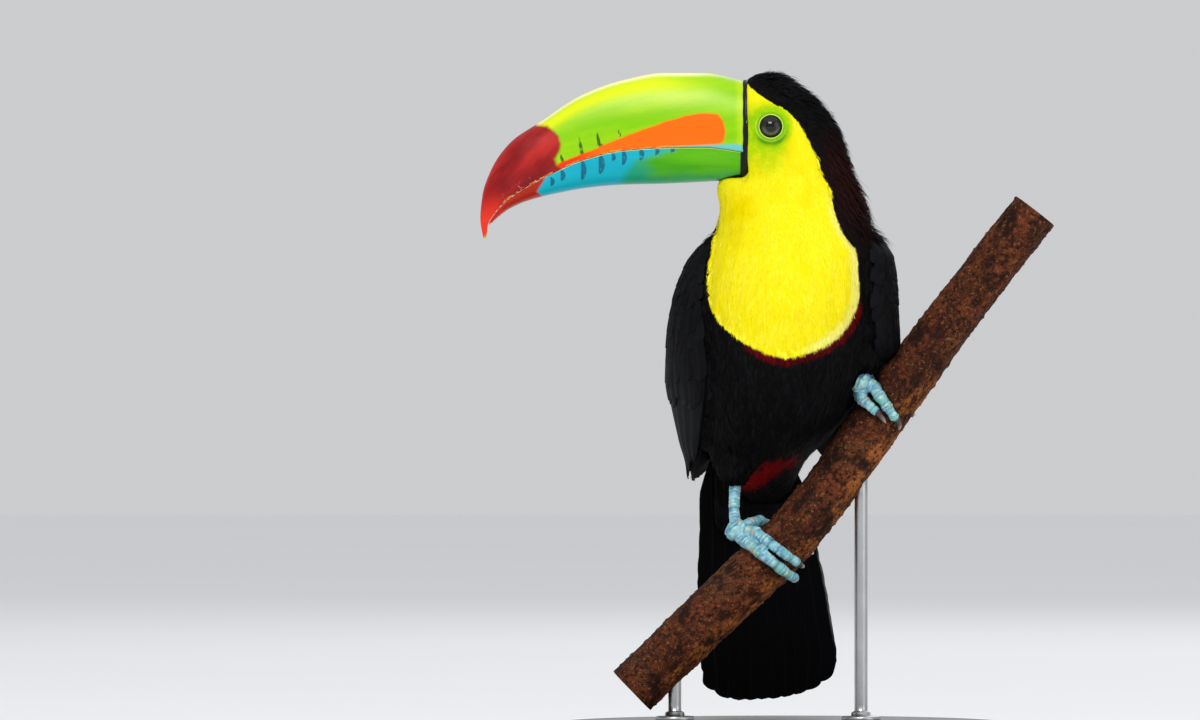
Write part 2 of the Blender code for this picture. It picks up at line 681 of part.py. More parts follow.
def bird():
    trunk_heights = {"top": NECK_BASE_Z - GAP / 2, "bottom": VENT_Z}

    def grown_body():
        return body_length("cut_body", NECK_BASE_Z, VENT_Z, GAP, 20)

    head_solid()
    body_length("neck", NECK_TOP_Z - GAP / 2, NECK_BASE_Z + GAP / 2, steps=5, kind="yellow")
    KINDS["neck"] = "yellow"
    trunk = body_length("trunk", trunk_heights["top"], trunk_heights["bottom"], steps=20)
    combine(trunk, [perch("cut", GAP), tail("cut", GAP)], "DIFFERENCE")
    for side in FEET:
        combine(trunk, grip(side), "DIFFERENCE")
    tidy(trunk)
    tail("tail")

    for side in FEET:
        KINDS["foot_" + side] = "foot"
        pieces = foot_pieces(side)
        pieces[0].name = "foot_" + side
        foot = combine(pieces[0], pieces[1:], "UNION")
        foot.data.name = foot.name
        combine(foot, [perch("cut", GAP)], "DIFFERENCE")
        tidy(foot)
        for toe in FEET[side]["toes"]:
            nail = claw(side, toe)
            KINDS[nail.name] = "claw"
            combine(nail, [perch("cut", GAP), *foot_pieces(side, GAP)], "DIFFERENCE")
            tidy(nail)
        leg = thigh(side)
        combine(leg, [grown_body(), perch("cut", GAP), *foot_pieces(side, GAP)], "DIFFERENCE")
        tidy(leg)

    for side, table in (("right", WING_RIGHT), ("left", WING_LEFT)):
        made = wing("wing_" + side, table)
        cutters = [grown_body(), tail("cut", GAP), perch("cut", GAP), thigh(side, GAP, "cut_thigh"), *grip(side)]
        combine(made, cutters, "DIFFERENCE")
        tidy(made)
        eye(side)

    KINDS.update({"bill_upper": "bill", "bill_lower": "mandible"})
    bill_half("bill_upper", True)
    bill_half("bill_lower", False)
    perch("perch_branch")


def main():
    for old in list(bpy.data.objects):
        bpy.data.objects.remove(old)
    bird()
    stand()
    for made in bpy.data.objects:
        made.data.name = made.name


main()
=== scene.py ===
"""Looks of a life-size keel-billed toucan display model: a feathered bird on a cut branch over a plain stand.

Lengths are millimetres in the row frame (the bird's chest faces -Y and its bill points to -X) until a mesh is made,
where MM turns them into metres. One skin stands for the fleshy CAD solids and lies under a coat of mesh feathers;
the bill, eyes, feet, claws, perch and stand are pieces of their own.
"""

from __future__ import annotations

import json
import logging
import math
from dataclasses import dataclass, field
from enum import Enum
from typing import Callable, Sequence

import bmesh
import bpy
import numpy as np
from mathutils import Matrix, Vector, noise
from mathutils.bvhtree import BVHTree

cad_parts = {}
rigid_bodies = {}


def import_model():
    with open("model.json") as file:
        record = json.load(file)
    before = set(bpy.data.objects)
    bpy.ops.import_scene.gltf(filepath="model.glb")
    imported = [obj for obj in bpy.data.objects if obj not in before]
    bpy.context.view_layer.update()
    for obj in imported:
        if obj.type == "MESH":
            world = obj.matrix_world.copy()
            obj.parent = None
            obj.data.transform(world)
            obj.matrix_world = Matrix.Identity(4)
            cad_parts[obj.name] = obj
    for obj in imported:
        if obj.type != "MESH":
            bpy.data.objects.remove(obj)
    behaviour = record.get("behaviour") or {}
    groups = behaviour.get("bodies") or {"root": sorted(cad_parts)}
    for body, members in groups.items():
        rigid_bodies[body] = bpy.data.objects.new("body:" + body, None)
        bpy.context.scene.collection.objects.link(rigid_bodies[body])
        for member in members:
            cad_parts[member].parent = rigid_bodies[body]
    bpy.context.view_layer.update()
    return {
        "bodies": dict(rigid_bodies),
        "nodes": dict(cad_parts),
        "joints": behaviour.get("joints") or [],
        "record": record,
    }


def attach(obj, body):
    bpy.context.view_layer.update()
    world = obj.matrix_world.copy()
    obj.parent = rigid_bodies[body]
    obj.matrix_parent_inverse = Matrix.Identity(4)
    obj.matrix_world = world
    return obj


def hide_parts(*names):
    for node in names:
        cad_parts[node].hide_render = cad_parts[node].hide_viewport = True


MM = 0.001  # metres in a millimetre
PATCH = 0.003  # how much of the bake map one tuft or vane takes
BIRD_Y = -12.0  # where the bird's own middle stands in the frame
LOG = logging.getLogger("toucan")
Array = np.ndarray
Colour = tuple[float, float, float, float]
Numbers = dict[str, Array]
Laid = tuple[Array, Array, Numbers, Array]
Pair = tuple[Array, Array]
Random = np.random.Generator
Reading = Callable[[Array, Numbers], Array]
Tree, Node, Socket = bpy.types.NodeTree, bpy.types.Node, bpy.types.NodeSocket
Mesh, Piece = bpy.types.Mesh, bpy.types.Object


def srgb(red: float, green: float, blue: float) -> Colour:
    """A linear colour from screen values of 0 to 255."""
    shares = (v / 255 for v in (red, green, blue))
    return (*(float(((v + 0.055) / 1.055) ** 2.4 if v > 0.04 else v / 12.92) for v in shares), 1.0)


def smooth(low: float, high: float, value: Array) -> Array:
    """A smooth step from 0 at low to 1 at high."""
    t = np.clip((np.asarray(value, float) - low) / (high - low), 0, 1)
    return t * t * (3 - 2 * t)


def bell(middle: float, width: float, value: Array) -> Array:
    """1 at the middle, fading smoothly to 0 over a few widths."""
    return np.exp(-(((value - middle) / width) ** 2))


def unit(vectors: Array) -> Array:
    """The vectors at length one."""
    return vectors / np.maximum(np.linalg.norm(vectors, axis=-1, keepdims=True), 1e-9)


class Keys:
    """Rows of numbers at stations, read between them on a smooth curve that never overshoots."""

    def __init__(self, stations: Sequence[float], rows: Sequence[Sequence[float]]) -> None:
        """Sorts the stations and finds each row's slope.

        Args:
            stations: where each row stands.
            rows: the numbers at each station.
        """
        at, table = np.asarray(stations, float), np.asarray(rows, float)
        order = np.argsort(at)
        self.at, self.rows = at[order], table[order]
        rise = np.diff(self.rows, axis=0) / np.diff(self.at)[:, None]
        same = rise[:-1] * rise[1:] > 0
        total = np.where(same, rise[:-1] + rise[1:], 1.0)
        self.slope = np.zeros_like(self.rows)
        self.slope[1:-1] = np.where(same, 2 * rise[:-1] * rise[1:] / total, 0.0)
        self.slope[0], self.slope[-1] = rise[0], rise[-1]

    def read(self, station: float | Array) -> Array:
        """The row at one station, or one row for each of many.

        Args:
            station: a number or an array of any shape.

        Returns:
            The numbers, along a new last axis.
        """
        s = np.clip(np.asarray(station, float), self.at[0], self.at[-1])
        i = np.clip(np.searchsorted(self.at, s) - 1, 0, len(self.at) - 2)
        width = (self.at[i + 1] - self.at[i])[..., None]
        t = (s - self.at[i])[..., None] / width
        return (
            (2 * t**3 - 3 * t**2 + 1) * self.rows[i]
            + (t**3 - 2 * t**2 + t) * width * self.slope[i]
            + (3 * t**2 - 2 * t**3) * self.rows[i + 1]
            + (t**3 - t**2) * width * self.slope[i + 1]
        )


def keyed(rows: Sequence[Sequence[float]]) -> Keys:
    """Keys from rows that begin with their station."""
    return Keys([row[0] for row in rows], [row[1:] for row in rows])


def outline_distance(x: Array, z: Array, outline: Sequence[tuple[float, float]]) -> Array:
    """Signed distance of points to a closed outline in the side plane.

    Args:
        x: the points' x.
        z: the points' z.
        outline: its corners, in order.

    Returns:
        Millimetres, positive inside.
    """
    points = np.stack([np.ravel(x), np.ravel(z)], -1)
    corners = np.asarray(outline, float)
    nearest = np.full(len(points), 1e9)
    inside = np.zeros(len(points), bool)
    for a, b in zip(corners, np.roll(corners, -1, axis=0)):
        edge = b - a
        t = np.clip((points - a) @ edge / max(edge @ edge, 1e-9), 0, 1)
        nearest = np.minimum(nearest, np.linalg.norm(points - a - t[:, None] * edge, axis=1))
        crosses = (a[1] > points[:, 1]) != (b[1] > points[:, 1])
        rise = edge[1] if abs(edge[1]) > 1e-9 else 1e-9
        inside ^= crosses & (points[:, 0] < a[0] + (points[:, 1] - a[1]) / rise * edge[0])
    return np.where(inside, nearest, -nearest).reshape(np.shape(x))


def wander(points: Array, scale: float, seed: float = 0.0) -> Array:
    """Smooth noise of about -1 to 1 at each point, with features `scale` millimetres across."""
    shift = Vector((seed * 7.1, seed * 3.3, seed * 5.7))
    flat = np.asarray(points, float).reshape(-1, 3) / scale
    return np.array([noise.noise(Vector(p) + shift) for p in flat]).reshape(np.shape(points)[:-1])


# --- meshes


def make_piece(
    name: str,
    points: Array,
    faces: Sequence[Array],
    material: bpy.types.Material,
    values: Numbers | None = None,
    uv: Array | None = None,
    normals: Array | None = None,
) -> Piece:
    """A mesh object from arrays.

    Args:
        name: the piece's name.
        points: its points in millimetres.
        faces: blocks of triangles or of quads, as rows of point numbers.
        material: its finish.
        values: per-point numbers that the finish reads.
        uv: per-point place on the bake map.
        normals: per-point directions to shade by.

    Returns:
        The object, in the scene.
    """
    mesh = bpy.data.meshes.new(name)
    flat = np.ascontiguousarray(np.asarray(points, float).reshape(-1, 3) * MM, np.float32)
    loops = np.concatenate([np.asarray(block, np.int32).ravel() for block in faces])
    sizes = np.concatenate([np.full(len(block), np.shape(block)[1], np.int32) for block in faces])
    mesh.vertices.add(len(flat))
    mesh.vertices.foreach_set("co", flat.ravel())
    mesh.loops.add(len(loops))
    mesh.loops.foreach_set("vertex_index", loops)
    mesh.polygons.add(len(sizes))
    mesh.polygons.foreach_set("loop_start", np.concatenate([[0], np.cumsum(sizes)[:-1]]).astype(np.int32))
    mesh.update(calc_edges=True)
    mesh.validate()
    for key, numbers in (values or {}).items():
        layer = mesh.attributes.new(key, "FLOAT", "POINT")
        layer.data.foreach_set("value", np.ascontiguousarray(np.ravel(numbers), np.float32))
    if uv is not None:
        layer = mesh.uv_layers.new(name="OFBake")
        index = np.empty(len(mesh.loops), np.int32)
        mesh.loops.foreach_get("vertex_index", index)
        layer.data.foreach_set("uv", np.ascontiguousarray(np.asarray(uv, np.float32)[index]).ravel())
    mesh.shade_smooth()
    if normals is not None:
        mesh.normals_split_custom_set_from_vertices(np.asarray(normals, np.float32).reshape(-1, 3).tolist())
    mesh.materials.append(material)
    made = bpy.data.objects.new(name, mesh)
    bpy.context.scene.collection.objects.link(made)
    return made


def grid_faces(rows: int, columns: int, wrap: bool = False) -> Array:
    """Quads over a grid of points stored row by row, closed round each row if asked."""
    r, c = np.meshgrid(np.arange(rows - 1), np.arange(columns if wrap else columns - 1), indexing="ij")
    n = (c + 1) % columns
    return np.stack([r * columns + c, r * columns + n, (r + 1) * columns + n, (r + 1) * columns + c], -1).reshape(-1, 4)


def fan_faces(start: int, count: int, tip: int) -> Array:
    """Triangles from a ring of points to one point."""
    i = np.arange(count)
    return np.stack([start + i, start + (i + 1) % count, np.full(count, tip)], -1)


def face_outwards(piece: Piece) -> Piece:
    """Turns every face of a closed piece outwards.

    Args:
        piece: the piece.

    Returns:
        The same piece.
    """
    work = bmesh.new()
    work.from_mesh(piece.data)
    bmesh.ops.recalc_face_normals(work, faces=work.faces)
    work.to_mesh(piece.data)
    work.free()
    return piece


def rounded_ends(rows: int, around: int) -> list[Array]:
    """Faces of rings closed to a point at each end, the two points coming after all rings."""
    last = rows * around
    return [grid_faces(rows, around, True), fan_faces(0, around, last), fan_faces(last - around, around, last + 1)]


def split_quads(quads: Array) -> Array:
    """Each quad as two triangles."""
    return np.concatenate([quads[:, [0, 1, 2]], quads[:, [0, 2, 3]]])


def joined(parts: Sequence[Pair]) -> Pair:
    """Points and faces of several meshes, numbered as one."""
    starts = np.cumsum([0] + [len(points) for points, _ in parts])
    faces = [np.asarray(some) + start for (_, some), start in zip(parts, starts)]
    return np.concatenate([points for points, _ in parts]), np.concatenate(faces)


def baked(holder: Piece) -> Mesh:
    """A new mesh of an object with its modifiers applied."""
    bpy.context.view_layer.update()
    return bpy.data.meshes.new_from_object(holder.evaluated_get(bpy.context.evaluated_depsgraph_get()))


def path_lengths(points: Array) -> Array:
    """The distance along a path to each of its points."""
    return np.concatenate([[0], np.cumsum(np.linalg.norm(np.diff(points, axis=0), axis=1))])


def read_mesh(mesh: Mesh) -> Pair:
    """Reads a mesh back into arrays.

    Args:
        mesh: the mesh.

    Returns:
        Its points in millimetres and its point normals.
    """
    found = np.empty((2, len(mesh.vertices) * 3), np.float32)
    mesh.vertices.foreach_get("co", found[0])
    mesh.vertices.foreach_get("normal", found[1])
    points, normals = found.reshape(2, -1, 3).astype(float)
    return points / MM, normals


def read_triangles(mesh: Mesh) -> Array:
    """The point numbers of a mesh's triangles."""
    mesh.calc_loop_triangles()
    found = np.empty(len(mesh.loop_triangles) * 3, np.int32)
    mesh.loop_triangles.foreach_get("vertices", found)
    return found.reshape(-1, 3)


def remeshed(name: str, sources: Sequence[Pair], voxel: float, rounds: int) -> Mesh:
    """One closed, even mesh round several closed ones.

    Args:
        name: the new mesh's name.
        sources: points in millimetres and triangles of each.
        voxel: the size of its faces in millimetres.
        rounds: how many times it is smoothed.

    Returns:
        The mesh.
    """
    points, faces = joined(sources)
    raw = bpy.data.meshes.new(name + "_raw")
    raw.from_pydata((points * MM).tolist(), [], faces.tolist())
    holder = bpy.data.objects.new(name + "_raw", raw)
    bpy.context.scene.collection.objects.link(holder)
    grid = holder.modifiers.new("grid", "REMESH")
    grid.mode, grid.voxel_size = "VOXEL", voxel * MM
    if rounds:
        even = holder.modifiers.new("even", "SMOOTH")
        even.factor, even.iterations = 0.5, rounds
    made = baked(holder)
    bpy.data.objects.remove(holder)
    bpy.data.meshes.remove(raw)
    made.name = name
    return made


def swept(path: Array, radii: Array, around: int) -> Array:
    """Rings of points along a path.

    Args:
        path: centre points.
        radii: the radius at each.
        around: points in a ring.

    Returns:
        Points shaped (len(path), around, 3).
    """
    side = np.array((0.31, 0.22, 0.92))
    turn = 2 * np.pi * np.arange(around)[:, None] / around
    rings = []
    for p, d, r in zip(path, unit(np.gradient(path, axis=0)), radii):
        side = unit(side - d * side.dot(d))
        rings.append(p + r * (np.cos(turn) * side + np.sin(turn) * np.cross(d, side)))
    return np.array(rings)


def closed_sweep(rings: Array, first: Array, last: Array) -> tuple[Array, list[Array]]:
    """Closes a sweep to a point at each end.

    Args:
        rings: what swept returned.
        first: the point before the first ring.
        last: the point after the last.

    Returns:
        Points and blocks of faces.
    """
    return np.vstack([rings.reshape(-1, 3), first, last]), rounded_ends(*rings.shape[:2])


# --- the bird's own measures

BODY_ROWS = (  # height, left edge, right edge, front edge, back edge
    (312, -10.6, -3.6, -4, 4), (311, -13.6, 0.4, -8.5, 8.5), (309, -17.5, 3.8, -12, 12),
    (306, -22, 7, -15, 15), (299.4, -27.2, 16.2, -18, 18), (292.4, -29.1, 21.4, -19.5, 19.5),
    (285.5, -29.6, 25.6, -20, 20), (271.7, -30.5, 29.6, -21, 20.5), (264.7, -30.5, 32.4, -22.5, 20.5),
    (257.8, -30.5, 35.6, -25.5, 21.5), (250.9, -30.5, 38.4, -29.5, 24), (243.9, -31, 39.7, -35, 28),
    (237, -32.8, 42.5, -41, 32), (230.1, -35.6, 43.9, -47, 36), (216.2, -39.3, 44.1, -53, 40),
    (202.4, -41.6, 43.4, -56, 44), (188.5, -43, 42.5, -56, 49), (174.6, -43, 39.3, -52.5, 53),
    (160.8, -41.1, 34.2, -45, 56), (149.2, -38.8, 27.3, -34, 58.5), (140, -36, 19, -20, 61),
    (134, -32.8, 12, -8, 63.5), (129.4, -29.1, 9.4, 5, 66.5), (124.7, -25.4, 7.8, 17, 69.5),
    (120.1, -23.1, 6.5, 28, 72), (115.5, -20.6, 4, 39, 74), (112, -16.6, 0.2, 49, 74.5),
)
BODY = keyed(BODY_ROWS)
EYE_RADIUS, EYE_X, EYE_Z, EYE_Y = 6.3, -5.8, 286.9, 15.4
BILL_BASE_X = -17.5


def body_turn(points: Array) -> Array:
    """Degrees round the body: 0 at the chest, 90 at +X, -90 at -X and 180 at the back."""
    left, right, front, back = np.moveaxis(BODY.read(points[..., 2]), -1, 0)
    across = (points[..., 0] - (left + right) / 2) / np.maximum((right - left) / 2, 1)
    deep = (points[..., 1] - BIRD_Y - (front + back) / 2) / np.maximum((back - front) / 2, 1)
    return np.degrees(np.arctan2(across, -deep))


def body_place(points: Array) -> Array:
    """Each point's place on an unwrap of the body: turn across, height up."""
    z = np.asarray(points)[..., 2]
    return np.stack([0.02 + 0.96 * (body_turn(points) + 180) / 360, 0.02 + 0.96 * (z - 95) / 222], -1)


class Zone(Enum):
    """The colour fields of the plumage, each a number on the skin and on every tuft."""

    YELLOW = "yellow"
    CRIMSON = "crimson"
    MAROON = "maroon"
    SCARLET = "scarlet"
    CREAM = "cream"
    BARE = "bare"
    GLOW = "glow"


@dataclass(frozen=True)
class Markings:
    """Where each colour lies on the bird, as outlines in the front plane and turns round the neck."""

    face_edge: tuple[tuple[float, float], ...] = (  # height, x of the border between face and crown
        (306.3, -16.6), (303, -13), (299.4, -7.9), (296, -2), (292.4, 3.7), (285.5, 9.2), (278.6, 12.5),
        (271.7, 16.2), (264.7, 18.5), (257.8, 22.6), (250.9, 23.3), (243.9, 25.2), (237, 28), (230.1, 33.2),
    )
    far_edge: tuple[tuple[float, float], ...] = (  # height, turn of the border on the neck's far side
        (264, -197), (257.8, -165), (250.9, -125), (243.9, -98), (237, -78.5), (230.1, -70.4),
    )
    bib: tuple[tuple[float, float], ...] = (
        (25.2, 244), (28, 237), (33.2, 230.1), (34, 223.1), (34.2, 216.2), (34.7, 209.3), (33.5, 202.4),
        (30.5, 195.4), (24.9, 188.5), (18.5, 184.4), (11.6, 181.4), (0.9, 178.6), (-8.3, 181), (-15.5, 184.4),
        (-22.2, 188.8), (-30, 195.4), (-33.7, 202.4), (-35, 209.3), (-35.6, 216.2), (-34.9, 223.1),
        (-33.6, 230.1), (-32.4, 237), (-60, 244), (-60, 330), (24, 330),
    )

    def read(self, points: Array) -> Numbers:
        """The number of each zone at each point, positive inside; maroon and glow are plain shares.

        Args:
            points: places on the bird.

        Returns:
            One array per zone.
        """
        x, y, z = points[:, 0], points[:, 1] - BIRD_Y, points[:, 2]
        left, right, front, back = np.moveaxis(BODY.read(z), -1, 0)
        middle, half = (left + right) / 2, (right - left) / 2
        turn = body_turn(points)
        edge = keyed(self.face_edge).read(z)[:, 0]
        near = np.degrees(np.arcsin(np.clip((edge - middle) / half, -1, 1)))
        far = keyed(self.far_edge).read(z)[:, 0]
        far = np.where(z > 264, np.minimum(-180 - near, -120), far)
        wrapped = np.where((turn > 60 + near) & (z > 230), turn - 360, turn)
        reach = np.radians(np.minimum(near - wrapped, wrapped - far)) * np.sqrt(half * (back - front) / 2)
        reach = np.minimum(reach, (306.6 - z) * 1.2)
        chest = outline_distance(x, z, self.bib)
        chest = np.where(y < (front + back) / 2 - 4, chest, np.minimum(chest, -6.0))
        share = smooth(229, 238, z)
        yellow = share * reach + (1 - share) * chest
        ends = smooth(-24, -14, x) * smooth(210, 200, z)
        crimson = np.where(y < (front + back) / 2, 2.1 * ends - np.abs(yellow + 1.1) - 0.6, -5.0)
        maroon = smooth(20, 60, np.abs(turn)) * smooth(218, 256, z) * smooth(292, 268, z)
        below = np.interp(x, (-19, -12, -3, 5), (119.5, 119.8, 126.5, 132.0))
        above = np.interp(x, (-19.5, -8, 1.2), (125.0, 131.6, 134.0))
        scarlet = np.minimum.reduce([z - below, above - z, 13.5 - np.abs(x + 7), 26 + 1.9 * (134 - z) - y])
        cream = np.minimum.reduce([152 - z, 15 - np.abs(x + 10), y - 46 - 0.8 * (140 - z)])
        eye = np.hypot(x - EYE_X, z - EYE_Z)
        bare = np.where(np.abs(np.abs(y) - 18) < 8, 9.0 - eye - 0.25 * np.maximum(x - EYE_X, 0), -9.0)
        level = np.hypot(np.where(x < EYE_X, 0.75, 2.2) * (x - EYE_X), np.where(z < EYE_Z, 0.95, 1.9) * (z - EYE_Z))
        glow = smooth(29.0, 5.0, level) * smooth(250, 264, z)
        rows = zip(Zone, (yellow, crimson, maroon, scarlet, cream, bare, glow))
        return {zone.value: np.clip(row, -20, 20) for zone, row in rows}


# --- finishes


class Graph:
    """Adds and joins shader nodes in one tree."""

    def __init__(self, tree: Tree) -> None:
        """Keeps the tree."""
        self.tree = tree

    def add(self, kind: str, **settings: object) -> Node:
        """A new node of this kind with these properties set."""
        node = self.tree.nodes.new(kind)
        for key, value in settings.items():
            setattr(node, key, value)
        return node

    def put(self, socket: Socket, value: object) -> None:
        """Links or sets an input socket."""
        if isinstance(value, Socket):
            self.tree.links.new(value, socket)
        else:
            socket.default_value = value

    def maths(self, kind: str, a: object, b: object = 0.0) -> Socket:
        """One step of arithmetic.

        Args:
            kind: the Math node's operation.
            a: its first value, a number or a socket.
            b: its second.

        Returns:
            The result.
        """
        node = self.add("ShaderNodeMath", operation=kind)
        self.put(node.inputs[0], a)
        self.put(node.inputs[1], b)
        return node.outputs[0]

    def times(self, a: object, b: object) -> Socket:
        """A product."""
        return self.maths("MULTIPLY", a, b)

    def plus(self, a: object, b: object) -> Socket:
        """A sum."""
        return self.maths("ADD", a, b)

    def minus(self, a: object, b: object) -> Socket:
        """A difference."""
        return self.maths("SUBTRACT", a, b)

    def blend(self, share: object, a: object, b: object) -> Socket:
        """A mix of two colours.

        Args:
            share: 0 for a and 1 for b.
            a: the first colour.
            b: the second.

        Returns:
            The mix.
        """
        node = self.add("ShaderNodeMix", data_type="RGBA")
        self.put(node.inputs["Factor"], share)
        self.put(node.inputs[6], a)
        self.put(node.inputs[7], b)
        return node.outputs[2]

    def value(self, name: str) -> Socket:
        """A number stored on the mesh."""
        return self.add("ShaderNodeAttribute", attribute_name=name).outputs["Fac"]

    def step(self, value: object, low: object, high: object) -> Socket:
        """A smooth step from 0 to 1.

        Args:
            value: what is read.
            low: where it leaves 0.
            high: where it reaches 1.

        Returns:
            The share.
        """
        node = self.add("ShaderNodeMapRange", interpolation_type="SMOOTHSTEP")
        self.put(node.inputs["Value"], value)
        self.put(node.inputs["From Min"], low)
        self.put(node.inputs["From Max"], high)
        return node.outputs["Result"]

    def place(self, stretch: Sequence[float] = (1, 1, 1), turn: Sequence[float] = (0, 0, 0)) -> Socket:
        """Coordinates in metres.

        Args:
            stretch: how much faster the pattern runs along each turned axis.
            turn: the axes' turn in radians.

        Returns:
            The coordinates.
        """
        node = self.add("ShaderNodeMapping", vector_type="TEXTURE")
        node.inputs["Scale"].default_value = tuple(1 / share for share in stretch)
        node.inputs["Rotation"].default_value = turn
        self.put(node.inputs["Vector"], self.add("ShaderNodeTexCoord").outputs["Object"])
        return node.outputs["Vector"]

    def noise(self, scale: object, detail: float = 3.0, place: Socket | None = None, rough: float = 0.55) -> Socket:
        """Fractal noise.

        Args:
            scale: features in a metre.
            detail: octaves.
            place: coordinates, or None for plain ones.
            rough: the weight of each further octave.

        Returns:
            A value of 0 to 1.
        """
        node = self.add("ShaderNodeTexNoise")
        self.put(node.inputs["Vector"], place or self.place())
        self.put(node.inputs["Scale"], scale)
        node.inputs["Detail"].default_value = detail
        node.inputs["Roughness"].default_value = rough
        return node.outputs["Fac"]

    def cells(self, scale: float) -> Socket:
        """Distance in a field of cells."""
        node = self.add("ShaderNodeTexVoronoi", feature="F1")
        self.put(node.inputs["Vector"], self.place())
        node.inputs["Scale"].default_value = scale
        return node.outputs["Distance"]

    def mask(self, name: str, wander: float, soft: float, scale: float = 160.0) -> Socket:
        """The mask of a signed distance that the mesh carries.

        Args:
            name: the number's name on the mesh.
            wander: how far the border strays, in the number's own unit.
            soft: half the width of the border.
            scale: how fine it strays.

        Returns:
            A value of 0 to 1.
        """
        border = self.use(Effects.border(), Distance=self.value(name), Wander=wander, Scale=scale, Softness=soft)
        return border.outputs["Mask"]

    def use(self, group: Tree, **inputs: object) -> Node:
        """Places a shared group.

        Args:
            group: the group.
            inputs: what its inputs are set or joined to.

        Returns:
            The node.
        """
        node = self.add("ShaderNodeGroup")
        node.node_tree = group
        for key, value in inputs.items():
            self.put(node.inputs[key], value)
        return node


Filling = Callable[[Graph, dict[str, Socket], dict[str, Socket]], None]


class Effects:
    """Node groups that several finishes share, each built once."""

    made: dict[str, Tree] = {}

    @classmethod
    def group(cls, name: str, inputs: dict[str, object], outputs: dict[str, str], fill: Filling) -> Tree:
        """Builds a group on first use.

        Args:
            name: the group's name.
            inputs: each input's default, a number or a colour.
            outputs: each output's kind of socket.
            fill: adds the nodes between the two.

        Returns:
            The group.
        """
        if name in cls.made:
            return cls.made[name]
        tree = bpy.data.node_groups.new(name, "ShaderNodeTree")
        for key, value in inputs.items():
            kind = "NodeSocketColor" if isinstance(value, tuple) else "NodeSocketFloat"
            tree.interface.new_socket(key, in_out="INPUT", socket_type=kind).default_value = value
        for key, kind in outputs.items():
            tree.interface.new_socket(key, in_out="OUTPUT", socket_type=kind)
        graph = Graph(tree)
        source, sink = graph.add("NodeGroupInput"), graph.add("NodeGroupOutput")
        fill(graph, {key: source.outputs[key] for key in inputs}, {key: sink.inputs[key] for key in outputs})
        cls.made[name] = tree
        return tree

    @classmethod
    def border(cls) -> Tree:
        """A mask from a signed distance, its edge wandering and soft."""

        def fill(g: Graph, i: dict[str, Socket], o: dict[str, Socket]) -> None:
            """Moves the distance by noise and steps it."""
            off = g.times(g.minus(g.noise(i["Scale"], 4.0), 0.5), i["Wander"])
            moved = g.plus(i["Distance"], off)
            g.put(o["Mask"], g.step(moved, g.times(i["Softness"], -1.0), i["Softness"]))

        inputs = {"Distance": 0.0, "Wander": 1.0, "Scale": 300.0, "Softness": 0.5}
        return cls.group("border", inputs, {"Mask": "NodeSocketFloat"}, fill)

    @classmethod
    def mottle(cls) -> Tree:
        """Lightens and darkens a colour in soft patches."""

        def fill(g: Graph, i: dict[str, Socket], o: dict[str, Socket]) -> None:
            """Scales the colour by noise."""
            swing = g.plus(1.0, g.times(g.minus(g.noise(i["Scale"], 5.0), 0.5), i["Amount"]))
            scaled = g.add("ShaderNodeVectorMath", operation="SCALE")
            g.put(scaled.inputs[0], i["Color"])
            g.put(scaled.inputs["Scale"], swing)
            g.put(o["Color"], scaled.outputs[0])

        inputs = {"Color": (0.5, 0.5, 0.5, 1.0), "Scale": 60.0, "Amount": 0.4}
        return cls.group("mottle", inputs, {"Color": "NodeSocketColor"}, fill)

    @classmethod
    def plumage(cls) -> Tree:
        """The bird's markings, from the numbers that skin and coat both carry."""

        def fill(g: Graph, i: dict[str, Socket], o: dict[str, Socket]) -> None:
            """Lays the colours over the dark ground."""
            fine = 420.0
            tint, along, maroon = g.value("tint"), g.value("along"), g.value("maroon")
            streak = g.noise(900.0, 2.0, g.place((1.0, 1.0, 0.12)))
            ground = g.blend(g.times(maroon, 0.7), i["Ground"], i["Maroon"])
            lit = g.step(g.plus(tint, g.times(g.noise(140.0, 2.0), 0.5)), 0.5, 1.3)
            ground = g.blend(g.times(lit, g.minus(1.0, maroon)), ground, i["Sheen"])
            warm = g.blend(g.step(g.plus(tint, streak), 0.6, 1.7), i["Yellow"], i["Pale"])
            warm = g.blend(g.step(g.noise(38.0, 2.0), 0.52, 0.75), warm, i["Deep"])
            # A painted highlight along the outer fringe of the yellow bib.
            warm = g.blend(g.times(g.value("rim"), 0.55), warm, i["Rim"])
            warm = g.blend(g.times(g.value("glow"), g.step(g.noise(300.0, 3.0), 0.1, 0.6)), warm, i["Bare"])
            bare = g.blend(g.step(g.noise(260.0, 4.0), 0.45, 0.8), i["Bare"], i["Bare Dark"])
            bare = g.blend(g.value("lid"), bare, i["Lid"])
            # A dark green ring round the eye, and a painted shadow in the skin below it.
            bare = g.blend(g.value("under"), bare, i["Under"])
            bare = g.blend(g.value("margin"), bare, i["Ground"])
            warm = g.blend(g.mask(Zone.BARE.value, 3.0, 3.4, fine), warm, bare)
            colour = g.blend(g.mask(Zone.YELLOW.value, 1.6, 0.35, fine), ground, warm)
            red = g.blend(tint, i["Crimson"], i["Crimson Dark"])
            colour = g.blend(g.mask(Zone.CRIMSON.value, 2.0, 0.8, fine), colour, red)
            red = g.blend(tint, i["Scarlet"], i["Crimson"])
            colour = g.blend(g.mask(Zone.SCARLET.value, 5.0, 1.6, fine), colour, red)
            colour = g.blend(g.mask(Zone.CREAM.value, 6.0, 1.5, fine), colour, i["Cream"])
            shade = g.add("ShaderNodeVectorMath", operation="SCALE")
            g.put(shade.inputs[0], colour)
            g.put(shade.inputs["Scale"], g.plus(g.times(g.step(along, 0.0, 0.55), 0.22), 0.80))
            g.put(o["Color"], shade.outputs[0])

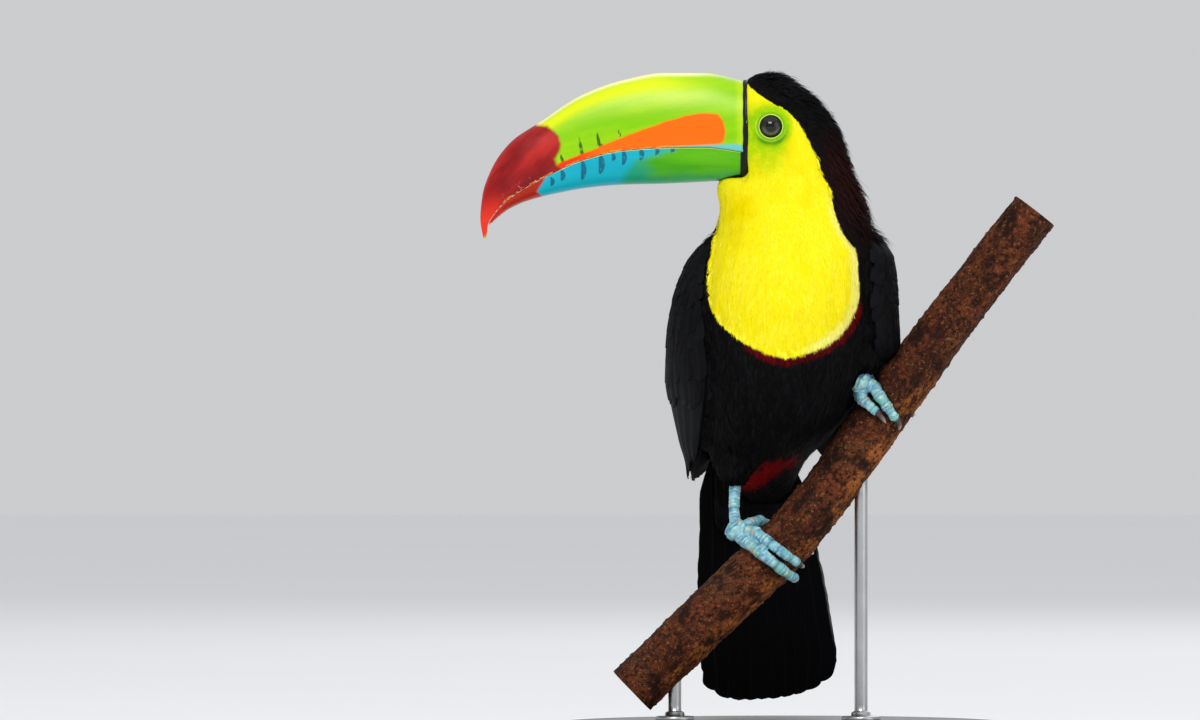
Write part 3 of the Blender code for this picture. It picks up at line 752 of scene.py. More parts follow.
        inputs = {
            "Ground": (0.0038, 0.0035, 0.0036, 1),
            "Sheen": (0.0066, 0.0066, 0.0080, 1),
            "Maroon": srgb(48, 21, 20),
            "Yellow": srgb(246, 232, 8),
            "Pale": srgb(255, 244, 62),
            "Deep": srgb(240, 218, 0),
            "Rim": srgb(255, 252, 165),
            "Bare": srgb(148, 204, 10),
            "Bare Dark": srgb(116, 184, 6),
            "Lid": srgb(222, 242, 120),
            "Under": srgb(40, 122, 14),
            "Crimson": srgb(112, 6, 14),
            "Crimson Dark": srgb(62, 4, 8),
            "Scarlet": srgb(134, 7, 10),
            "Cream": srgb(242, 236, 214),
        }
        return cls.group("plumage", inputs, {"Color": "NodeSocketColor"}, fill)


@dataclass(frozen=True)
class Finish:
    """A material: the plain numbers of its shader, and the nodes that vary over the surface."""

    name: str
    roughness: float = 0.5
    plain: tuple[tuple[str, float], ...] = ()

    def paint(self, g: Graph, shader: Node) -> None:
        """Adds the finish's own nodes. Each kind of finish has its own."""

    def cover(self, g: Graph, shader: Node, colour: Socket, grit: Socket, swing: float, less: float = 0.0) -> None:
        """Sets the colour, and a roughness that varies.

        Args:
            g: the material's graph.
            shader: its Principled BSDF.
            colour: the base colour.
            grit: a value of 0 to 1.
            swing: how much the roughness rises with it.
            less: what is taken off the finish's own roughness.
        """
        g.put(shader.inputs["Base Color"], colour)
        g.put(shader.inputs["Roughness"], g.plus(g.times(grit, swing), self.roughness - less))

    def bump(self, g: Graph, shader: Node, height: Socket, depth: float, strength: float) -> None:
        """Raises the surface.

        Args:
            g: the material's graph.
            shader: its Principled BSDF.
            height: a value of 0 to 1.
            depth: millimetres.
            strength: the Bump node's own strength.
        """
        node = g.add("ShaderNodeBump")
        node.inputs["Strength"].default_value = strength
        node.inputs["Distance"].default_value = depth * MM
        g.put(node.inputs["Height"], height)
        g.put(shader.inputs["Normal"], node.outputs["Normal"])

    def make(self) -> bpy.types.Material:
        """The material, built on first use."""
        name = "finish_" + self.name
        found = bpy.data.materials.get(name)
        if found:
            return found
        made = bpy.data.materials.new(name)
        made.use_nodes = True
        shader = made.node_tree.nodes["Principled BSDF"]
        shader.inputs["Roughness"].default_value = self.roughness
        for key, value in self.plain:
            shader.inputs[key].default_value = value
        self.paint(Graph(made.node_tree), shader)
        return made


@dataclass(frozen=True)
class Plumage(Finish):
    """Feathers and the skin under them."""

    def paint(self, g: Graph, shader: Node) -> None:
        """Markings, with fine barbs across each tuft.

        Args:
            g: the material's graph.
            shader: its Principled BSDF.
        """
        fine = g.noise(1500.0, 2.0)
        self.cover(g, shader, g.use(Effects.plumage()).outputs["Color"], fine, 0.25, 0.12)
        self.bump(g, shader, fine, 0.12, 0.5)


@dataclass(frozen=True)
class Vane(Finish):
    """Large feathers with a shaft and slanting barbs."""

    black: Colour = (0.0026, 0.0026, 0.0028, 1)
    sheen: Colour = (0.0050, 0.0056, 0.0074, 1)
    # the painted sheen along one edge of some long feathers
    pale: Colour = (0.17, 0.175, 0.165, 1)
    quill: Colour = (0.012, 0.011, 0.011, 1)

    def paint(self, g: Graph, shader: Node) -> None:
        """Black with a cool sheen, a painted sheen along one edge of some long feathers, a raised shaft and barb lines.

        Args:
            g: the material's graph.
            shader: its Principled BSDF.
        """
        across, along, tint = g.value("across"), g.value("along"), g.value("tint")
        length, off = g.value("length"), g.maths("ABSOLUTE", across)
        barbs = g.maths("SINE", g.times(g.minus(g.times(along, length), g.times(off, 5.0)), 7.0))
        shaft = g.step(off, 0.10, 0.0)
        colour = g.blend(g.step(g.plus(tint, g.times(g.noise(90.0, 3.0), 0.4)), 0.2, 1.3), self.black, self.sheen)
        # A painted sheen along one edge of the long feathers whose tint is high.
        edge = g.times(g.step(across, 0.84, 0.95), g.step(tint, 0.62, 0.72))
        edge = g.times(edge, g.times(g.step(along, 0.36, 0.5), g.step(along, 0.86, 0.7)))
        colour = g.blend(g.times(edge, g.step(length, 30.0, 40.0)), colour, self.pale)
        colour = g.blend(g.times(shaft, 0.5), colour, self.quill)
        g.put(shader.inputs["Base Color"], colour)
        rough = g.plus(g.times(barbs, 0.05), g.plus(self.roughness, g.times(g.noise(400.0), 0.12)))
        g.put(shader.inputs["Roughness"], rough)
        self.bump(g, shader, g.plus(g.times(barbs, 0.16), g.times(shaft, 0.8)), 0.14, 0.7)


@dataclass(frozen=True)
class UpperHorn(Finish):
    """The upper mandible: green, with an orange flash, a red tip, a broad painted sheen and a pale ridge that is partly
    painted highlight.
    """

    lean: tuple[float, float, float] = (0, -0.2, 0)
    tip_lean: tuple[float, float, float] = (0, -0.9, 0)

    def paint(self, g: Graph, shader: Node) -> None:
        """Lays each field over the green by its signed distance.

        Args:
            g: the material's graph.
            shader: its Principled BSDF.
        """
        bite = g.value("bite")
        flow = g.noise(70.0, 4.0, g.place((0.25, 1.0, 1.4), self.lean))
        colour = g.blend(g.step(flow, 0.3, 0.75), srgb(124, 196, 0), srgb(164, 212, 8))
        # A broad painted sheen over the upper middle of the side.
        colour = g.blend(g.value("pale"), colour, srgb(192, 222, 76))
        colour = g.blend(g.value("gold"), colour, srgb(226, 236, 16))
        # The pale ridge: partly the culmen's own cream, partly a painted highlight from above.
        colour = g.blend(g.value("keel"), colour, srgb(248, 244, 168))
        smudge = g.times(g.step(g.value("notch"), 0.0, 0.5), g.step(g.noise(420.0, 3.0), 0.20, 0.52))
        colour = g.blend(g.times(smudge, 0.9), colour, srgb(24, 82, 10))
        flash = g.blend(g.step(g.value("forward"), 0.0, 1.0), srgb(255, 106, 0), srgb(244, 56, 6))
        colour = g.blend(g.mask("flash", 1.2, 0.7), colour, flash)
        colour = g.blend(g.mask("wedge", 0.6, 0.7), colour, srgb(104, 192, 188))
        streak = g.step(g.noise(55.0, 4.0, g.place((0.4, 1, 1.2), self.tip_lean)), 0.35, 0.7)
        deep = g.blend(streak, srgb(124, 12, 18), srgb(198, 46, 40))
        deep = g.blend(g.value("point"), deep, srgb(234, 50, 26))
        scuffs = g.times(g.step(bite, 5.0, 1.0), g.step(g.noise(620.0, 4.0, rough=0.7), 0.60, 0.68))
        deep = g.blend(g.times(scuffs, 0.6), deep, srgb(236, 128, 110))
        colour = g.blend(g.mask("ember", 2.2, 1.1), colour, deep)
        colour = g.blend(g.mask("rim", 0.3, 0.22), colour, RIM_BLACK)
        chipped = g.times(g.step(g.noise(520.0, 1.0), 0.42, 0.6), g.step(g.value("teeth"), 0.0, 1.0))
        tooth = g.times(g.step(bite, 0.75, 0.2), chipped)
        colour = g.blend(g.times(tooth, 0.75), colour, srgb(250, 190, 90))
        scuff = g.noise(900.0, 4.0, g.place((0.3, 1, 1), self.lean))
        self.cover(g, shader, colour, scuff, 0.22)
        swell = g.noise(120.0, 3.0, g.place((0.3, 1, 1), self.lean))
        self.bump(g, shader, g.plus(g.times(scuff, 0.4), swell), 0.16, 0.6)


@dataclass(frozen=True)
class LowerHorn(Finish):
    """The lower mandible: blue forwards, green towards the base, red at the tip."""

    stray: float = 120.0

    def paint(self, g: Graph, shader: Node) -> None:
        """Lays each field over the green by its signed distance.

        Args:
            g: the material's graph.
            shader: its Principled BSDF.
        """
        flow = g.noise(60.0, 4.0, g.place((0.25, 1.0, 1.4)))
        colour = g.blend(g.step(flow, 0.3, 0.75), srgb(48, 156, 0), srgb(98, 184, 4))
        colour = g.blend(g.mask("teal", 7.0, 5.0, self.stray), colour, srgb(24, 160, 120))
        azure = g.blend(flow, srgb(0, 150, 188), srgb(16, 190, 200))
        colour = g.blend(g.mask("azure", 4.0, 2.6, self.stray), colour, azure)
        smudge = g.times(g.step(g.value("notch"), 0.0, 0.55), g.step(g.noise(400.0, 3.0), 0.20, 0.52))
        colour = g.blend(g.times(smudge, 0.82), colour, srgb(12, 78, 108))
        deep = g.blend(g.noise(60.0, 4.0), srgb(150, 22, 12), srgb(196, 48, 16))
        deep = g.blend(g.value("point"), deep, srgb(214, 48, 34))
        colour = g.blend(g.mask("ember", 1.6, 0.9, self.stray), colour, deep)
        lip = g.blend(g.step(g.value("forward"), 0.3, 0.5), srgb(226, 232, 120), srgb(230, 120, 60))
        colour = g.blend(g.step(g.value("bite"), 0.55, 0.2), colour, lip)
        colour = g.blend(g.mask("rim", 0.3, 0.25, self.stray), colour, RIM_BLACK)
        scuff = g.noise(900.0, 4.0, g.place((0.3, 1, 1)))
        self.cover(g, shader, colour, scuff, 0.22)
        self.bump(g, shader, scuff, 0.12, 0.5)


@dataclass(frozen=True)
class EyeGloss(Finish):
    """The eyeball: black rim, dark olive iris with fine rays and its lower half painted lighter by light from above,
    black pupil.
    """

    pupil: Colour = (0.0004, 0.0004, 0.0006, 1)
    ring: Colour = (0.0002, 0.0002, 0.0003, 1)

    def paint(self, g: Graph, shader: Node) -> None:
        """Colours by the distance from the eye's axis.

        Args:
            g: the material's graph.
            shader: its Principled BSDF.
        """
        out = g.value("out")
        rays = g.plus(g.times(g.maths("SINE", g.value("ray")), 0.25), g.noise(1500.0, 3.0))
        iris = g.blend(g.step(rays, 0.2, 1.0), srgb(8, 10, 6), srgb(42, 51, 30))
        # The lower half of the iris painted lighter, as if light from above fell through the cornea onto it.
        iris = g.blend(g.times(g.value("low"), g.step(rays, -0.2, 0.8)), iris, srgb(88, 101, 68))
        colour = g.blend(g.step(out, 2.3, 2.6), self.pupil, iris)
        colour = g.blend(g.step(out, 3.8, 4.15), colour, self.ring)
        self.cover(g, shader, colour, g.noise(800.0), 0.04)


@dataclass(frozen=True)
class ScaleSkin(Finish):
    """Bare, scaled skin of the feet."""

    def paint(self, g: Graph, shader: Node) -> None:
        """Pale blue plates with painted highlights on their raised middles and darker seams.

        Args:
            g: the material's graph.
            shader: its Principled BSDF.
        """
        seam, tint = g.value("seam"), g.noise(240.0, 4.0)
        colour = g.blend(g.step(tint, 0.38, 0.62), srgb(78, 146, 176), srgb(136, 196, 206))
        colour = g.blend(g.step(g.noise(110.0, 3.0), 0.50, 0.62), colour, srgb(112, 184, 176))
        # Painted highlights here and there on the raised middles of the plates.
        lip = g.times(g.step(seam, 0.35, 0.8), g.step(g.noise(420.0, 3.0), 0.42, 0.66))
        colour = g.blend(g.times(lip, 0.7), colour, srgb(204, 226, 216))
        stain = g.step(g.noise(300.0, 3.0), 0.57, 0.66)
        colour = g.blend(g.times(stain, 0.7), colour, srgb(184, 150, 108))
        colour = g.blend(g.times(g.step(seam, 0.20, 0.0), 0.6), colour, srgb(36, 74, 92))
        pores = g.cells(1500.0)
        self.cover(g, shader, colour, pores, 0.2)
        self.bump(g, shader, g.plus(g.times(seam, g.value("top")), g.times(pores, 0.5)), 0.22, 0.8)


@dataclass(frozen=True)
class ClawHorn(Finish):
    """Dark claw horn with a paler point, partly pale horn and partly painted glint."""

    def paint(self, g: Graph, shader: Node) -> None:
        """Streaks along the claw.

        Args:
            g: the material's graph.
            shader: its Principled BSDF.
        """
        streak = g.noise(700.0, 3.0)
        colour = g.blend(g.step(streak, 0.3, 0.7), srgb(34, 30, 30), srgb(74, 66, 62))
        # The pale point: partly the claw's own pale horn, partly a painted glint.
        point = g.times(g.step(g.value("along"), 0.30, 0.75), g.value("pale"))
        self.cover(g, shader, g.blend(point, colour, srgb(236, 224, 208)), streak, 0.2)
        self.bump(g, shader, streak, 0.08, 0.5)


@dataclass(frozen=True)
class Bark(Finish):
    """Rough red-brown bark, with ringed wood at the cuts."""

    stretch: tuple[float, float, float] = (0.34, 1, 1)
    lean: tuple[float, float, float] = (0, -0.87, 0)

    def paint(self, g: Graph, shader: Node) -> None:
        """Bark in plates and specks; pale wood with rings where it is sawn.

        Args:
            g: the material's graph.
            shader: its Principled BSDF.
        """
        grain, relief = g.place(self.stretch, self.lean), g.value("relief")
        broad, fine = g.noise(95.0, 5.0, grain, 0.66), g.noise(460.0, 5.0, rough=0.75)
        colour = g.blend(g.step(broad, 0.38, 0.62), srgb(56, 25, 14), srgb(104, 52, 28))
        colour = g.blend(g.step(g.noise(24.0, 4.0), 0.48, 0.64), colour, srgb(88, 52, 32))
        # A painted band of light along the front and lower right side of the branch, broken up by noise.
        side_light = g.times(g.times(g.value("side_light"), 0.8), g.step(g.noise(260.0, 5.0, grain, 0.72), 0.40, 0.58))
        colour = g.blend(side_light, colour, srgb(172, 100, 44))
        colour = g.blend(g.step(fine, 0.38, 0.56), srgb(34, 16, 9), colour)
        specks = g.step(g.noise(760.0, 4.0, rough=0.75), 0.56, 0.66)
        colour = g.blend(g.times(specks, 0.6), colour, srgb(166, 108, 62))
        # Painted light and shade from the relief: a painted highlight on raised plates, a painted shade in the hollows.
        colour = g.blend(g.times(g.step(relief, 0.55, 1.0), 0.4), colour, srgb(156, 96, 54))
        colour = g.blend(g.times(g.step(relief, 0.26, 0.0), 0.8), colour, srgb(24, 11, 8))
        out = g.value("ring")
        rings = g.maths("SINE", g.times(g.plus(out, g.times(g.noise(60.0), 2.4)), 7.0))
        wood = g.blend(g.step(rings, -0.6, 0.9), srgb(206, 164, 108), srgb(164, 116, 66))
        wood = g.blend(g.step(g.noise(900.0, 2.0), 0.45, 0.7), wood, srgb(186, 142, 88))
        wood = g.blend(g.step(out, 9.6, 10.8), wood, srgb(84, 46, 26))
        self.cover(g, shader, g.blend(g.value("cut"), colour, wood), fine, 0.3)
        self.bump(g, shader, g.plus(fine, g.times(g.noise(900.0, 4.0), 0.6)), 0.9, 0.8)


@dataclass(frozen=True)
class StandWood(Finish):
    """Dark lacquered wood with a faint grain."""

    def paint(self, g: Graph, shader: Node) -> None:
        """Long grain lines under the lacquer, with fine dust marks in its gloss.

        Args:
            g: the material's graph.
            shader: its Principled BSDF.
        """
        warp = g.noise(9.0, 3.0, g.place((0.4, 2.2, 1)))
        lines = g.noise(260.0, 4.0, g.place((0.06, 1.6, 1)))
        grain = g.maths("SINE", g.plus(g.times(warp, 60.0), g.times(lines, 9.0)))
        pores = g.step(g.noise(700.0, 3.0, g.place((0.06, 1.8, 1))), 0.56, 0.68)
        colour = g.blend(g.step(grain, -1.0, 1.0), srgb(30, 20, 15), srgb(54, 35, 24))
        self.cover(g, shader, g.blend(g.times(pores, 0.7), colour, srgb(16, 10, 8)), g.noise(240.0, 4.0), 0.16)
        self.bump(g, shader, g.minus(g.times(grain, 0.2), pores), 0.05, 0.5)


@dataclass(frozen=True)
class BrushedSteel(Finish):
    """Turned and brushed steel."""

    def paint(self, g: Graph, shader: Node) -> None:
        """Fine rings of brushing round each upright axis.

        Args:
            g: the material's graph.
            shader: its Principled BSDF.
        """
        lines = g.noise(1800.0, 3.0, g.place((0.05, 0.05, 1)))
        colour = g.blend(g.noise(120.0, 3.0), (0.42, 0.42, 0.43, 1), (0.56, 0.56, 0.57, 1))
        self.cover(g, shader, colour, lines, 0.22)
        self.bump(g, shader, lines, 0.03, 0.4)


@dataclass(frozen=True)
class Paper(Finish):
    """The pale studio floor."""

    def paint(self, g: Graph, shader: Node) -> None:
        """Barely uneven.

        Args:
            g: the material's graph.
            shader: its Principled BSDF.
        """
        mix = g.use(Effects.mottle(), Color=srgb(236, 237, 239), Scale=3.0, Amount=0.03)
        g.put(shader.inputs["Base Color"], mix.outputs["Color"])


DULL = "Specular IOR Level"
RIM_BLACK = (0.006, 0.006, 0.007, 1)
FEATHER = Plumage("feather", 0.7, ((DULL, 0.03),))
BLACK_VANE = Vane("vane", 0.5, ((DULL, 0.05),))
UPPER_HORN = UpperHorn("upper_horn", 0.22, ((DULL, 0.2),))
LOWER_HORN = LowerHorn("lower_horn", 0.22, ((DULL, 0.2),))
WET = (("Coat Weight", 1.0), ("Coat Roughness", 0.02), ("Coat IOR", 1.45))
EYE_GLOSS = EyeGloss("eye_gloss", 0.3, ((DULL, 0.0), *WET))
SCALE_SKIN = ScaleSkin("scale_skin", 0.28)
CLAW_HORN = ClawHorn("claw_horn", 0.28)
BARK = Bark("bark", 0.62, ((DULL, 0.12),))
STAND_WOOD = StandWood("stand_wood", 0.24, (("Coat Weight", 0.5), ("Coat Roughness", 0.1)))
STEEL = BrushedSteel("steel", 0.22, (("Metallic", 1.0),))
PAPER = Paper("paper", 0.8)


# --- skin


@dataclass
class Skin:
    """One closed skin over head, neck, trunk, thighs and folded wings, with the bare rings round the eyes."""

    nodes: tuple[str, ...] = ("head", "neck", "trunk", "thigh_left", "thigh_right", "wing_left", "wing_right")
    own: tuple[str, ...] = ("lid", "under", "margin", "eyelid")  # numbers that only the eye rings carry
    around: int = 144  # points in each ring round an eye
    first_outer: int = 19  # the first ring that takes in the head itself
    default_out: float = 17.0  # where a ray misses the head
    voxel: float = 1.25
    swell: float = 0.35  # how far each node grows before they are joined
    depth: float = 1.7  # how far the skin lies inside the nodes
    wing_depth: float = 0.9
    face_depth: float = 0.7
    points: Array | None = None
    triangles: Array | None = None
    tree: BVHTree | None = None
    wing_tree: BVHTree | None = None
    thigh_tree: BVHTree | None = None

    def gather(self, frame: dict, name: str) -> Pair:
        """Reads a CAD node and swells it a little, so that neighbours meet.

        Args:
            name: the node.

        Returns:
            Its points and triangles.
        """
        work = bmesh.new()
        work.from_mesh(frame["nodes"][name].data)
        bmesh.ops.remove_doubles(work, verts=work.verts, dist=1e-6)
        bmesh.ops.triangulate(work, faces=work.faces)
        work.normal_update()
        points = np.array([v.co / MM + v.normal * self.swell for v in work.verts])
        triangles = np.array([[v.index for v in f.verts] for f in work.faces])
        work.free()
        return points, triangles

    def tree_of(self, parts: Sequence[Pair]) -> BVHTree:
        """A search tree over several meshes, in millimetres."""
        points, faces = joined(parts)
        return BVHTree.FromPolygons(points.tolist(), faces.tolist())

    def head_out(self, side: float, x: float, z: float) -> float:
        """How far from the bird's middle plane the head stands on this side."""
        hit = self.tree.ray_cast(Vector((x, BIRD_Y + side * 60, z)), Vector((0, -side, 0)))[0]
        return (hit.y - BIRD_Y) * side if hit else self.default_out

    def socket(self, side: float, x: Array, z: Array, share: Array) -> Array:
        """The curve of the head through the eye, which takes in the head itself further out.

        Args:
            side: -1 for the eye at -Y and 1 for the other.
            x: places across, one row for each ring.
            z: their heights.
            share: how much of the head itself each outer place takes.

        Returns:
            How far out the curve stands at each place.
        """
        turns, radii = np.linspace(0, 6.1, 24), (8.4, 9.6, 10.8)
        ring = [(EYE_X + q * math.cos(t), EYE_Z + q * math.sin(t)) for q in radii for t in turns]
        ring = np.array([p for p in ring if p[0] > BILL_BASE_X + 2.5])

        def terms(px: Array, pz: Array) -> Array:
            """The parts of a curve of the second order."""
            u, v = (px - EYE_X) / 10, (pz - EYE_Z) / 10
            return np.stack([np.ones_like(u), u, v, u**2, u * v, v**2], -1)

        depth = np.array([self.head_out(side, *p) for p in ring])
        fit = np.linalg.lstsq(terms(ring[:, 0], ring[:, 1]), depth, rcond=None)[0]
        base = sum(factor * term for factor, term in zip(fit, np.moveaxis(terms(x, z), -1, 0)))
        far = slice(self.first_outer, None)
        outer = np.array([[self.head_out(side, *p) for p in zip(*row)] for row in zip(x[far], z[far])])
        near = np.where(np.abs(outer - base[far]) < 2.5, outer, base[far])
        base[far] = base[far] * (1 - share) + near * share
        return base

    def lids(self, side: float) -> tuple[Array, Array, Numbers]:
        """The bare, beaded rings round one eye, laid on the head's own curve.

        Args:
            side: -1 for the eye at -Y and 1 for the other.

        Returns:
            Points, faces and the numbers that the finish reads.
        """
        radii = np.concatenate([np.linspace(4.6, 7.0, 17), np.linspace(7.25, 11.6, 14)])
        turns = np.linspace(0, 2 * np.pi, self.around, endpoint=False)
        r, a = np.meshgrid(radii, turns, indexing="ij")
        x, z = EYE_X + r * np.cos(a), EYE_Z + r * np.sin(a)
        base = self.socket(side, x, z, smooth(8.3, 10.6, r[self.first_outer :]))
        eyeball = EYE_Y + np.sqrt(np.maximum(EYE_RADIUS**2 - r**2, 0.5))
        at = (4.6, 4.8, 5.1, 5.55, 5.95, 6.4, 6.9, 7.4, 9.5, 10.8, 11.6)
        stands = (-0.55, -0.1, 0.24, 0.42, 0.12, 0.14, 0.30, 0.12, 0.10, -0.05, -0.6)
        profile = np.interp(radii, at, stands)[:, None]
        lip = (eyeball + 0.05) * smooth(5.9, 4.8, r) + base * (1 - smooth(5.9, 4.8, r))
        beads = 0.10 * np.sin(a * 44) * bell(5.55, 0.3, r) + 0.06 * np.sin(a * 30 + 2) * bell(6.9, 0.3, r)
        wrinkle = 0.09 * np.sin(a * 13 + 2.2 * np.sin(a * 3)) * np.sin(r * 3.6 + np.sin(a * 5))
        wrinkle = wrinkle * smooth(6.4, 7.6, r) * smooth(11.0, 9.0, r)
        y = BIRD_Y + side * (np.where(r < 5.9, lip, base) + profile + beads + wrinkle)
        # A painted shadow in the bare skin below the eye.
        under = bell(8.0, 1.2, r) * smooth(0.15, 0.9, -np.sin(a - 0.1)) * 0.9
        rings = bell(5.5, 0.18, r) + 0.6 * bell(6.95, 0.2, r) * smooth(0.7, -0.6, np.sin(a + 0.5))
        values = (rings, under + 0.4 * bell(6.1, 0.3, r), smooth(5.32, 5.16, r), np.ones(r.shape))
        faces = grid_faces(len(radii), self.around, True)
        points = np.stack([x, y, z], -1).reshape(-1, 3)
        return points, faces if side > 0 else faces[:, ::-1], dict(zip(self.own, map(np.ravel, values)))

    def chin(self) -> Pair:
        """Flesh that rises from the throat into the hollow of the lower mandible, so that the two meet."""
        rings, around = np.linspace(0, np.pi, 14)[1:-1], 28
        a, b = np.meshgrid(rings, np.linspace(0, 2 * np.pi, around, endpoint=False), indexing="ij")
        middle, flat = np.array([-16.6, BIRD_Y, 257.5]), np.sin(a) ** 0.22
        points = middle + np.stack([15.6 * flat * np.cos(b), 18.0 * flat * np.sin(b), 7.6 * np.cos(a)], -1)
        tips = middle + np.array([[0, 0, 7.6], [0, 0, -7.6]])
        quads, *caps = rounded_ends(len(rings), around)
        return np.vstack([points.reshape(-1, 3), tips]), np.concatenate([split_quads(quads), *caps])

    def build(self, frame: dict) -> Piece:
        """Remeshes the fleshy nodes as one, sinks them under the coat and adds the eye rings.


        Returns:
            The piece.
        """
        parts = [self.gather(frame, name) for name in self.nodes]
        self.wing_tree, self.thigh_tree = self.tree_of(parts[5:]), self.tree_of(parts[3:5])
        mesh = remeshed("skin", [*parts, self.chin()], self.voxel, 5)
        points, normals = read_mesh(mesh)
        wing = np.array([self.wing_tree.find_nearest(Vector(p))[3] for p in points])
        face = smooth(262, 276, points[:, 2])
        sink = np.where(wing < 1.6, self.wing_depth, self.depth) * (1 - face) + self.face_depth * face
        self.points, self.triangles = points - normals * sink[:, None], read_triangles(mesh)
        self.tree = BVHTree.FromPolygons(self.points.tolist(), self.triangles.tolist())
        blocks, found, count = [self.triangles], [self.points], len(points)
        values = [{key: np.zeros(count) for key in self.own}]
        for side in (-1.0, 1.0):
            ring, quads, its_own = self.lids(side)
            blocks.append(quads + count)
            found.append(ring)
            values.append(its_own)
            count += len(ring)
        points = np.concatenate(found)
        merged = {key: np.concatenate([v[key] for v in values]) for key in self.own}
        lidded = merged.pop("eyelid") > 0
        marks = Markings().read(points)
        marks["scarlet"] = self.off_thighs(points, marks["scarlet"])
        eye = np.hypot(points[:, 0] - EYE_X, points[:, 2] - EYE_Z)
        marks["bare"] = np.where(lidded, 9.5 - eye, marks["bare"])
        marks["yellow"] = np.where(lidded, np.maximum(marks["yellow"], 3.0), marks["yellow"])
        plain = {"rim": np.zeros(count), "tint": np.full(count, 0.35), "along": np.full(count, 0.3)}
        made = make_piece("skin", points, blocks, FEATHER.make(), {**marks, **merged, **plain})
        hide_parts(*self.nodes)
        return made

    def off_thighs(self, points: Array, scarlet: Array) -> Array:
        """The scarlet number, with none of it on the thighs."""
        return np.where([self.thigh_tree.find_nearest(Vector(p))[3] < 2.6 for p in points], -6.0, scarlet)

    def near(self, point: Array) -> Pair:
        """The nearest place on the skin and its normal."""
        place, normal, _, _ = self.tree.find_nearest(Vector(point))
        return np.array(place), np.array(normal)


# --- coat


@dataclass(frozen=True)
class Lock:
    """The outline of one tuft: points (share along, share across), its faces and the points of its split tip."""

    points: tuple[tuple[float, float], ...]
    faces: tuple[tuple[int, int, int], ...]
    tips: tuple[int, ...]


SOFT_LOCK = Lock(
    (
        (0, -0.3), (0, 0.3), (0.36, -1), (0.36, 1), (0.62, -1), (0.62, -0.35),
        (0.62, 0.35), (0.62, 1), (0.92, -0.78), (1, 0), (0.88, 0.74),
    ),
    ((0, 1, 3), (0, 3, 2), (2, 5, 4), (2, 3, 5), (3, 6, 5), (3, 7, 6), (4, 5, 8), (5, 6, 9), (6, 7, 10)),
    (8, 9, 10),
)
HAIR_LOCK = Lock(
    ((0, -0.5), (0, 0.5), (0.3, -1), (0.3, -0.36), (0.3, 0.34), (0.3, 1), (0.9, -0.95), (1, -0.1), (0.84, 0.8)),
    ((0, 3, 2), (0, 1, 4), (0, 4, 3), (1, 5, 4), (2, 3, 6), (3, 4, 7), (4, 5, 8)),
    (6, 7, 8),
)


